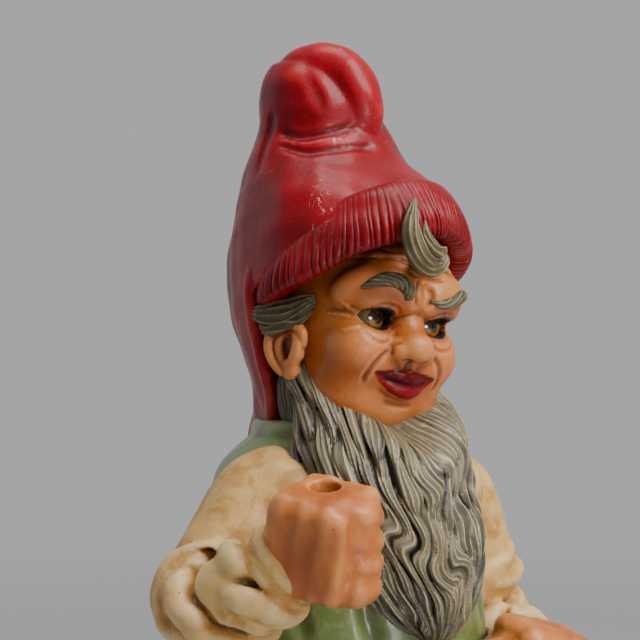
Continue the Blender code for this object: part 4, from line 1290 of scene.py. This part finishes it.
def hair_paint(name, base, shade, light):
    # Hair: strong dry-brushed light on the crests and strong painted shade in the grooves
    return painted_clay(name, base, shade, light, (0.012, 0.010, 0.009), gloss=0.50, coat=0.18,
                        pits=False, crest=0.85, groove_shade=0.95, edges=(0.34, 0.10, 0.56, 0.84))


# ---------------------------------------------------------------- body

TORSO = (
    (184, 0, 8, 87, 79, 66), (196, 0, 8, 90, 83, 69), (232, 0, 8, 86, 87, 67),
    (262, 0, 8, 84, 85, 65), (295, 0, 8, 84, 78, 63), (325, 0, 8, 87, 68, 63),
    (340, 0, 8, 86, 62, 62), (354, 0, 8, 79, 56, 59), (366, 0, 8, 62, 48, 52),
    (376, 0, 8, 46, 42, 44), (382, 0, 8, 40, 36, 40),
)
PLEATS = (-150, -118, -88, -62, -34, 34, 60, 90, 120, 150, 178)  # degrees round from the front


def sculpt_torso():
    """The waistcoat: low collar, lapped front, hem and pleats."""
    clay = Clay((-102, -92, 178), (102, 90, 398), 2.2)
    body = Levels(TORSO)
    clay.levels(TORSO)
    # A low collar round the sides and back
    for side in (-1, 1):
        collar = [(side * degrees, 372, 3.0) for degrees in range(50, 181, 13)]
        clay.roll(body.track(collar, -1.5), 6)
    hem = [(degrees, 187.5, 3.6) for degrees in range(-180, 181, 15)]
    clay.roll(body.track(hem, -0.6), 3)
    seam = [(degrees, 197, 0.9) for degrees in range(-180, 181, 15)]
    clay.press(body.track(seam, 0.6), 1.5)
    # The front edge laps over from the gnome's right
    edge = [(4 + 1.5 * math.sin(z / 23), z, 1.9) for z in range(184, 362, 8)]
    clay.roll(body.track(edge, -0.4), 2.5)
    gap = [(7.5 + 1.5 * math.sin(z / 23), z, 1.0) for z in range(180, 362, 8)]
    clay.press(body.track(gap, 0.4), 1.5)
    for i, degrees in enumerate(PLEATS):
        pleat = ((degrees, 182, 4.5), (degrees + 2, 205, 3.2), (degrees, 228 - 6 * (i % 3), 0.8))
        clay.press(body.track(pleat, 2.2), 9)
        high = 252 + 6 * (i % 2)
        crease = ((degrees + 8, high, 1.0), (degrees + 5, high + 22, 2.6),
                  (degrees + 9, high + 50, 0.8))
        clay.press(body.track(crease, 1.6), 8)
    for side in (-1, 1):
        clay.press(both(((30, -52, 355, 0.8), (42, -56, 338, 1.8), (50, -58, 312, 0.8)), side), 6)
        clay.press(both(((34, 66, 356, 0.8), (48, 66, 330, 2.2), (56, 64, 300, 0.8)), side), 8)
    return clay.handmade("waistcoat", 1, 0.0005, 0.030, 31)


ARMS = {
    -1: ((-56, 2, 338, 26), (-70, 0, 328, 28), (-88, -2, 308, 28), (-109, -8, 284, 27),
         (-117, -24, 276, 27), (-113, -46, 286, 25), (-104, -62, 300, 22.5), (-100, -68, 306, 22.5)),
    1: ((56, 2, 338, 26), (74, 0, 326, 28), (88, 2, 302, 28), (99, 2, 270, 27),
        (102, -10, 244, 26), (96, -36, 230, 24), (85, -58, 226, 21.5), (81, -66, 226, 21.5)),
}
SLEEVE_FOLDS = 9


def sculpt_sleeve(side):
    """A loose shirt sleeve with folds gathering at the elbow and a turned cuff."""
    rows = np.array(ARMS[side], dtype=float)
    low, high = rows[:, :3].min(axis=0) - 36, rows[:, :3].max(axis=0) + 36
    clay = Clay(low, high, 1.8)
    clay.roll(rows, 4)
    clay.egg((side * 57, -11, 331), (27, 29, 30), 8)  # the full shoulder
    path = smooth_path(rows, 10)
    along = unit(np.gradient(path[:, :3], axis=0))
    rng = np.random.default_rng(40 + side)
    last = len(path) - 1
    for fold in range(SLEEVE_FOLDS):
        at = int(last * (0.42 + 0.46 * ((fold + 0.5) / SLEEVE_FOLDS)))
        start = rng.uniform(0, 2 * math.pi)
        sweep = rng.uniform(1.4, 2.6)
        deep = rng.uniform(0.9, 1.9)
        ring = []
        for t in np.linspace(0, 1, 7):
            i = int(np.clip(at + (t - 0.5) * rng.uniform(5, 9), 0, last))
            a = start + sweep * t
            first = unit(np.cross(along[i], (0.3, 0.2, 1.0)))
            second = np.cross(along[i], first)
            way = first * math.cos(a) + second * math.sin(a)
            radius = deep * math.sin(math.pi * (0.1 + 0.8 * t))
            ring.append((*(path[i, :3] + way * (path[i, 3] + 0.6)), radius))
        clay.press(ring, 10)
        crest = [(*(np.array(row[:3]) - along[at] * 6.0), row[3] * 0.8) for row in ring]
        clay.roll(crest, 10)
    # The turned cuff at the wrist, of two rolls
    wrist, way = path[-1, :3], along[-1]
    first = unit(np.cross(way, (0.3, 0.2, 1.0)))
    second = np.cross(way, first)
    for back, radius in ((1.0, 3.4), (9.0, 3.0)):
        ring = []
        for step in range(0, 361, 24):
            a = math.radians(step)
            out = first * math.cos(a) + second * math.sin(a)
            ring.append((*(wrist - way * back + out * (path[-1, 3] - 1.4)), radius))
        clay.roll(ring, 2.5)
    return clay.handmade(sided("shirt_sleeve", side), 1, 0.0006, 0.024, 50 + side)


def cream_paint():
    """Cream with ochre blots, a painted highlight on the crests, painted shade in the folds, grime
    spots and pinholes.
    """
    paint = Paint("cream_shirt")
    cloud = paint.noise(0.040, 5)
    blot = paint.noise(0.026, 4, 0.6, 0.5)
    fine = paint.noise(0.0050, 6, 0.65)
    groove = paint.attribute("groove")
    colour = paint.mix(paint.ramp(cloud, 0.36, 0.66), (0.720, 0.450, 0.145), (0.600, 0.330, 0.085))
    colour = paint.mix(paint.ramp(blot, 0.47, 0.62, 0, 0.80), colour, (0.440, 0.185, 0.025))
    # A painted highlight on the crests
    colour = paint.mix(paint.ramp(groove, 0.47, 0.25, 0, 0.55), colour, (0.78, 0.58, 0.28))
    # Painted shade in the folds and grooves
    down = paint.ramp(paint.ragged(groove, fine, 0.35), 0.57, 0.92, 0, 0.85)
    colour = paint.mix(down, colour, (0.135, 0.075, 0.030))
    spots = paint.ramp(paint.noise(0.012, 6, 0.7), 0.56, 0.68)
    grime = paint.times(spots, paint.ramp(cloud, 0.42, 0.60))
    colour = paint.mix(paint.times(grime, 0.45), colour, (0.300, 0.220, 0.110))
    sparse = paint.ramp(paint.noise(0.03, 2), 0.49, 0.55)
    hole = paint.times(paint.dots(0.0085, 0.045, 0.075), sparse)
    colour = paint.mix(hole, colour, (0.035, 0.020, 0.012))
    paint.colour(colour)
    rough = paint.ramp(fine, 0.3, 0.75, 0.42, 0.62)
    paint.surface(rough, paint.minus(fine, hole), 0.18, 0.3, 0.0005)
    return paint.material


HANDLE_RADIUS = 8.4  # of the hole for a tool's handle
# Where each fist is, how far it is turned about the upright, and whether it has the hole
FISTS = {-1: ((-90, -89, 318), 18, True), 1: ((70, -88, 226), -14, False)}


def sculpt_fist(side):
    """A closed hand round an upright handle: a blunt block with fingers, knuckles and a thumb."""
    place, turn, with_hole = FISTS[side]
    clay = Clay((-42, -44, -44), (42, 52, 44), 1.3)
    inward = -side

    def round_hand(degrees, aside, ahead, z, radius):
        """Rows round the front of the hand, from the palm's side to the back's."""
        turns = [math.radians(angle) for angle in degrees]
        return [(-inward * aside * math.cos(a), -ahead * math.sin(a) - 1, z, radius) for a in turns]

    clay.block((0, 1, 2), (26, 25, 29.5), 9, 0, (9, -14 * inward, 0))
    clay.roll(((inward * -2, 18, -8, 18), (inward * -4, 32, -14, 16)), 9)  # the wrist
    for finger, size in enumerate((8.6, 9.2, 8.8, 7.8)):
        z = 15.0 - 12.6 * finger
        clay.roll(round_hand((215, 185, 150, 115, 80), 19.0, 18.5, z, size), 6)
        for *knuckle, radius in round_hand((125,), 22.0, 20.5, z, 6.4):
            clay.egg(knuckle, (radius, radius, 6.2), 5)
        if finger:
            clay.press(round_hand((235, 205, 175, 145, 118), 28.0, 27.5, z + 6.3, 1.0), 4.0)
    thumb = ((18, 20, 8, 9), (26, 6, 14, 8.6), (24, -8, 16, 8.0), (17, -18, 15, 7.0))
    clay.roll([(inward * x, *rest) for x, *rest in thumb], 3)
    if with_hole:
        clay.roll(((0, 0, -60, HANDLE_RADIUS), (0, 0, 60, HANDLE_RADIUS)), 1.0, cut=True)
    move = Matrix.Translation(Vector(place) * MM) @ Matrix.Rotation(math.radians(turn), 4, "Z")
    place = move @ Matrix.Scale(MM, 4)
    return clay.handmade(sided("fist", side), 1, 0.0006, 0.018, 60 + side, place)


def build_belt():
    """A leather band with stitched edges that follows the waistcoat."""
    body = Levels(TORSO)
    low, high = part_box("belt")
    bottom, top = low.z / MM, high.z / MM
    outline = ((0.0, 1.0), (0.0, 3.6), (0.10, 4.6), (0.18, 4.1), (0.26, 4.5), (0.50, 4.8),
               (0.74, 4.5), (0.82, 4.1), (0.90, 4.6), (1.0, 3.6), (1.0, 1.0), (0.5, 0.2))
    points = []
    for degrees in range(360):
        turn = math.radians(degrees)
        wave = 0.5 * math.sin(3 * turn) + 0.3 * math.sin(7 * turn + math.radians(40))
        for up, lift in outline:
            points.append(body.at(degrees, bottom + (top - bottom) * up + wave * 0.4, lift + 0.2))
    count = len(outline)
    faces = []
    for degrees in range(360):
        here, there = degrees * count, (degrees + 1) % 360 * count
        for k in range(count):
            n = (k + 1) % count
            faces.append((here + k, here + n, there + n, there + k))
    belt = new_object("leather_belt", points, faces, WORLD)
    subdivide(belt)
    dent(belt, 0.00025, 0.012, 71)
    return belt


def subdivide(obj):
    """Splits each face into four and rounds the corners."""
    modifier = obj.modifiers.new("smooth", "SUBSURF")
    modifier.levels = 1
    graph = bpy.context.evaluated_depsgraph_get()
    mesh = bpy.data.meshes.new_from_object(obj.evaluated_get(graph))
    obj.modifiers.clear()
    obj.data = mesh
    mesh.shade_smooth()


def build_buckle():
    """A cast frame with a rounded rim, a bar and a tongue."""
    centre = middle("belt_buckle") / MM
    clay = Clay((-22, -6, -17), (22, 9, 17), 0.6)
    corners = ((-14, 0, -9.5), (14, 0, -9.5), (14, 0, 9.5), (-14, 0, 9.5), (-14, 0, -9.5))
    for a, b in zip(corners, corners[1:]):
        clay.roll(((*a, 2.9), (*b, 2.9)), 1.2)
    clay.roll(((0, 1, -9.5, 1.6), (0, 1, 9.5, 1.6)), 1.0)
    clay.roll(((0, -0.6, 0, 1.7), (13, -2.2, 0, 1.4)), 0.8)
    place = Matrix.Translation(centre * MM) @ Matrix.Scale(MM, 4)
    return clay.mesh("cast_buckle", place)


def build_button(node):
    """A domed button with a rim and a crossed groove."""
    centre = middle(node) / MM
    clay = Clay((-9, -6, -9), (9, 6, 9), 0.35)
    clay.egg((0, 0, 0), (5.6, 3.6, 5.6), 0)
    ring = []
    for step in range(0, 361, 30):
        a = math.radians(step)
        ring.append((4.6 * math.cos(a), -1.4, 4.6 * math.sin(a), 1.15))
    clay.roll(ring, 0.6)
    clay.press(((-2.6, -3.4, -2.6, 0.45), (2.6, -3.4, 2.6, 0.45)), 0.4)
    clay.press(((-2.6, -3.4, 2.6, 0.45), (2.6, -3.4, -2.6, 0.45)), 0.4)
    place = Matrix.Translation(centre * MM) @ Matrix.Scale(MM, 4)
    return clay.mesh("domed_" + node, place)


# ---------------------------------------------------------------- legs and ground

PELVIS = ((168, 0, 8, 52, 40, 34), (176, 0, 8, 70, 58, 50), (184, 0, 8, 83, 74, 62),
          (192, 0, 8, 83, 74, 62))
LEG = ((34, 8, 184, 36), (37, 7, 160, 37), (40, 4, 134, 35), (42, 6, 112, 31), (42, 6, 96, 29))


def sculpt_breeches():
    """Baggy knee breeches, gathered into the boot tops."""
    clay = Clay((-88, -72, 88), (88, 74, 190), 2.3)
    clay.levels(PELVIS)
    for side in (-1, 1):
        clay.roll(both(LEG, side), 5)
        for i in range(12):
            a = math.radians(i * 30 + 8 * (i % 2))
            tuck = []
            for z, out in ((102, 29.5), (116, 32.0), (132, 36.0), (150 + 8 * (i % 3), 39.0)):
                radius = 2.6 if z < 140 else 0.8
                tuck.append((side * 41 + out * math.sin(a), 5 - out * math.cos(a), z, radius))
            clay.press(tuck, 6)
        clay.press(both(((12, -60, 178, 1.5), (24, -46, 166, 3.0), (44, -38, 158, 1.2)), side), 8)
        clay.press(both(((16, 56, 176, 1.5), (30, 46, 164, 3.0), (50, 36, 156, 1.2)), side), 8)
    return clay.handmade("knee_breeches", 1, 0.0006, 0.022, 81)


# The sole's outline, seen from above
WELT = ((41, 48), (19, 37), (13, 10), (15, -20), (20, -50), (33, -80), (53, -92), (71, -81),
        (79, -50), (75, -20), (71, 10), (64, 37), (41, 48))


def sculpt_boot(side):
    """A turned-down boot with a welted sole and creases at the ankle."""
    low = (-86 if side < 0 else 4, -92, 26)
    high = (-4 if side < 0 else 86, 54, 122)
    clay = Clay(low, high, 1.75)
    clay.roll(both(((42, 6, 36, 28), (42, 6, 56, 28), (42, 6, 78, 28), (42, 6, 96, 30)), side), 4)
    clay.roll(both(((41, 34, 52, 12), (41, 28, 53, 21), (42, 8, 54, 27), (45, -18, 51, 26),
                    (49, -46, 48, 26), (52, -66, 46, 21), (53, -77, 45, 12)), side), 8)
    ring = []
    for step in range(0, 361, 20):
        a = math.radians(step)
        z = 104 + 2.0 * math.sin(3 * a)
        ring.append((side * 42 + 31 * math.cos(a), 6 + 31 * math.sin(a), z, 7.0))
    clay.roll(ring, 3)
    clay.press([(x, y, z - 8.5, 1.6) for x, y, z, _ in ring], 3)
    for height, radius in ((92, 1.36), (87, 1.7)):
        fold = []
        for degrees in range(-70, 71, 20):
            a = math.radians(degrees)
            z = height - 3 * math.cos(2 * a)
            fold.append((side * 42 + 28.5 * math.sin(a), 6 - 28.5 * math.cos(a), z, radius))
        clay.press(fold, 5)
    clay.roll([(side * x, y, 38, 3.4) for x, y in WELT], 1.5)
    return clay.handmade(sided("turned_boot", side), 1, 0.0005, 0.018, 90 + side)


STUMP = ((28, 0, 50, 40, 30, 34), (45, 0, 50, 32, 24, 27), (80, 0, 49, 27, 22, 24),
         (130, 0, 47, 26, 22, 23), (176, 0, 46, 27, 22, 24))
BARK_GROOVES = 26
# One root: how far it reaches sideways and forwards, height, radius
ROOT = ((22, 20, 66, 5), (30, 26, 42, 6.5), (40, 32, 32, 5))


def sculpt_stump():
    """Ridged bark with knots and spreading roots."""
    clay = Clay((-50, 10, 24), (50, 94, 182), 1.7)
    body = Levels(STUMP)
    clay.levels(STUMP)
    rng = np.random.default_rng(12)
    for i in range(BARK_GROOVES):
        degrees = i * 360 / BARK_GROOVES + rng.uniform(-4, 4)
        z = rng.uniform(32, 60)
        rows = []
        while z < 172:
            rows.append((degrees, z, rng.uniform(0.8, 2.3)))
            degrees += rng.uniform(-6, 6)
            z += rng.uniform(16, 26)
        if len(rows) > 1:
            clay.press(body.track(rows, 0.8), 2.6)
    for degrees, z in ((-120, 92), (160, 128), (100, 64), (-165, 150)):
        clay.egg(body.at(degrees, z, 0), (7, 7, 9), 4)
        clay.egg(body.at(degrees, z, 5), (3.4, 3.4, 5), 2, cut=True)
    for degrees in (-150, -115, 180, 120, 150, 85):
        a = math.radians(degrees)
        clay.roll([(aside * math.sin(a), 50 - ahead * math.cos(a), z, radius)
                   for aside, ahead, z, radius in ROOT], 5)
    return clay.mesh("bark_stump", WORLD)


PLINTH = ((0, 0, 0, 108, 104, 94), (10, 0, 0, 110, 106, 96), (22, 0, 0, 104, 100, 90),
          (31, 0, 0, 92, 90, 80), (34, 0, 0, 74, 74, 66))
TUFTS = 420
# Degrees round from the front, how far out as a share of the rim, and size
STONES = ((-60, 0.86, 8), (-40, 0.93, 6), (70, 0.88, 9), (150, 0.84, 8), (-130, 0.9, 7),
          (15, 0.92, 7))


def sculpt_plinth():
    """A mound of turf with stones, on a plain worn foot."""
    clay = Clay((-116, -112, 0), (116, 102, 46), 2.4)
    body = Levels(PLINTH)
    clay.levels(PLINTH)
    rng = np.random.default_rng(17)
    for _ in range(TUFTS):
        angle = rng.uniform(0, 2 * math.pi)
        share = math.sqrt(rng.uniform(0.0, 1.0))
        x, y = 98 * share * math.cos(angle), -4 + 94 * share * math.sin(angle)
        height = 34.0 if share < 0.70 else 34 - 14 * ((share - 0.70) / 0.30) ** 1.5
        lean = rng.normal(size=2) * 2.2
        tip = (x + lean[0], y + lean[1], height + rng.uniform(1.0, 3.2), 0.9)
        clay.roll(((x, y, height - 2.0, 2.2), tip), 1.4)
    for degrees, share, size in STONES:
        a = math.radians(degrees)
        centre = (98 * share * math.sin(a), -96 * share * math.cos(a), 25)
        clay.egg(centre, (size * 1.3, size, size * 0.8), 1.5)
    for row in range(0, 360, 24):
        clay.press(body.track(((row, 6, 0.6), (row + 9, 12, 1.4), (row + 15, 9, 0.5)), 0.6), 2)
    plinth = clay.mesh("turf_mound", WORLD)
    # A flat underside to stand on
    points = points_of(plinth)
    points[:, 2] = np.maximum(points[:, 2], 0.0)
    move_points(plinth, points)
    return plinth


# ---------------------------------------------------------------- assembly

SIDES = {"left": 1, "right": -1}


def add_head():
    face = sculpt_head()
    head = face.mesh("head_face", HEAD)
    hollows(head, 0.0012, 4)
    paint_head(head)
    finished(head, skin_material(), "skin", "head")
    add_eyes()
    return face


def add_hair(face):
    grey = hair_paint("grey_hair", (0.185, 0.152, 0.078), (0.058, 0.050, 0.038), (0.60, 0.50, 0.27))
    finished(build_beard(), grey, "hair_grey", "beard")
    dark = hair_paint("dark_hair", (0.060, 0.046, 0.016), (0.036, 0.028, 0.012), (0.25, 0.20, 0.085))
    olive = hair_paint("olive_hair", (0.090, 0.070, 0.024), (0.055, 0.042, 0.018), (0.34, 0.28, 0.125))
    finished(forelock(), olive, "hair_grey", "forelock")
    for side, sign in SIDES.items():
        finished(temple_locks(sign), dark, "hair_grey", side + "_temple_hair")
        finished(neck_locks(sign), dark, "hair_grey", side + "_neck_hair")
        finished(eyebrow(sign, face), olive, "hair_grey", side + "_eyebrow")


def add_cap():
    grooved(sculpt_cap(), 0.0022, 4, red_paint("cap_paint", 0.55), "cap_red", "cap", "cap_tip")
    # The cuff gets stronger painted shade in its grooves than the cap
    finished(build_cuff(), red_paint("cuff_paint", 0.80), "cap_red", "cap_cuff")


def add_body():
    green = painted_clay("green_waistcoat", (0.150, 0.205, 0.055), (0.110, 0.150, 0.040),
                         (0.36, 0.40, 0.19), (0.022, 0.032, 0.014), 0.36, 0.45, (0.42, 0.30, 0.20))
    grooved(sculpt_torso(), 0.0025, 3, green, "waistcoat_green", "torso")
    cream, skin = cream_paint(), skin_material(with_face=False)
    for side, sign in SIDES.items():
        grooved(sculpt_sleeve(sign), 0.0022, 3, cream, "shirt_cream", side + "_sleeve")
    for side, sign in reversed(SIDES.items()):
        fist = sculpt_fist(sign)
        # No painted crease shade on the fists
        number(fist, "crease", np.zeros(len(fist.data.vertices)))
        grooved(fist, 0.0016, 3, skin, "skin", side + "_fist")
    leather = painted_clay("belt_leather", (0.028, 0.020, 0.015), (0.018, 0.014, 0.012),
                           (0.13, 0.085, 0.050), (0.004, 0.003, 0.003), 0.38, 0.35, (0.16, 0.10, 0.06))
    grooved(build_belt(), 0.0012, 4, leather, "belt_black", "belt")
    gold = painted_clay("gold_paint", (0.46, 0.27, 0.065), (0.34, 0.18, 0.045),
                        (0.75, 0.55, 0.22), (0.045, 0.025, 0.010), 0.34, 0.5, (0.20, 0.10, 0.05))
    grooved(build_buckle(), 0.0012, 4, gold, "buckle_gold", "belt_buckle")
    for node in ("button_1", "button_2"):
        grooved(build_button(node), 0.0012, 4, gold, "buckle_gold", node)


def add_legs():
    brown = painted_clay("brown_breeches", (0.130, 0.070, 0.036), (0.085, 0.045, 0.024),
                         (0.30, 0.19, 0.10), (0.018, 0.010, 0.006), 0.45, 0.25, (0.32, 0.18, 0.10))
    grooved(sculpt_breeches(), 0.0025, 3, brown, "breeches_brown", "breeches")
    boot_paint = painted_clay("boot_leather", (0.060, 0.028, 0.013), (0.036, 0.018, 0.010),
                              (0.22, 0.12, 0.06), (0.008, 0.005, 0.004), 0.34, 0.45, (0.25, 0.13, 0.07))
    for side, sign in SIDES.items():
        grooved(sculpt_boot(sign), 0.0022, 3, boot_paint, "boot_brown", side + "_boot")
    bark = painted_clay("bark", (0.140, 0.085, 0.048), (0.090, 0.060, 0.036),
                        (0.33, 0.25, 0.16), (0.016, 0.010, 0.007), 0.62, 0.10, (0.14, 0.15, 0.06))
    grooved(sculpt_stump(), 0.0022, 2, bark, "stump_brown", "tree_stump")
    turf = painted_clay("turf", (0.075, 0.100, 0.034), (0.100, 0.080, 0.036),
                        (0.24, 0.27, 0.12), (0.014, 0.016, 0.008), 0.60, 0.12, (0.30, 0.18, 0.10))
    grooved(sculpt_plinth(), 0.0022, 2, turf, "ground_green", "plinth")


def main():
    add_camera()
    add_studio()
    face = add_head()
    add_hair(face)
    add_cap()
    add_body()
    add_legs()


main()
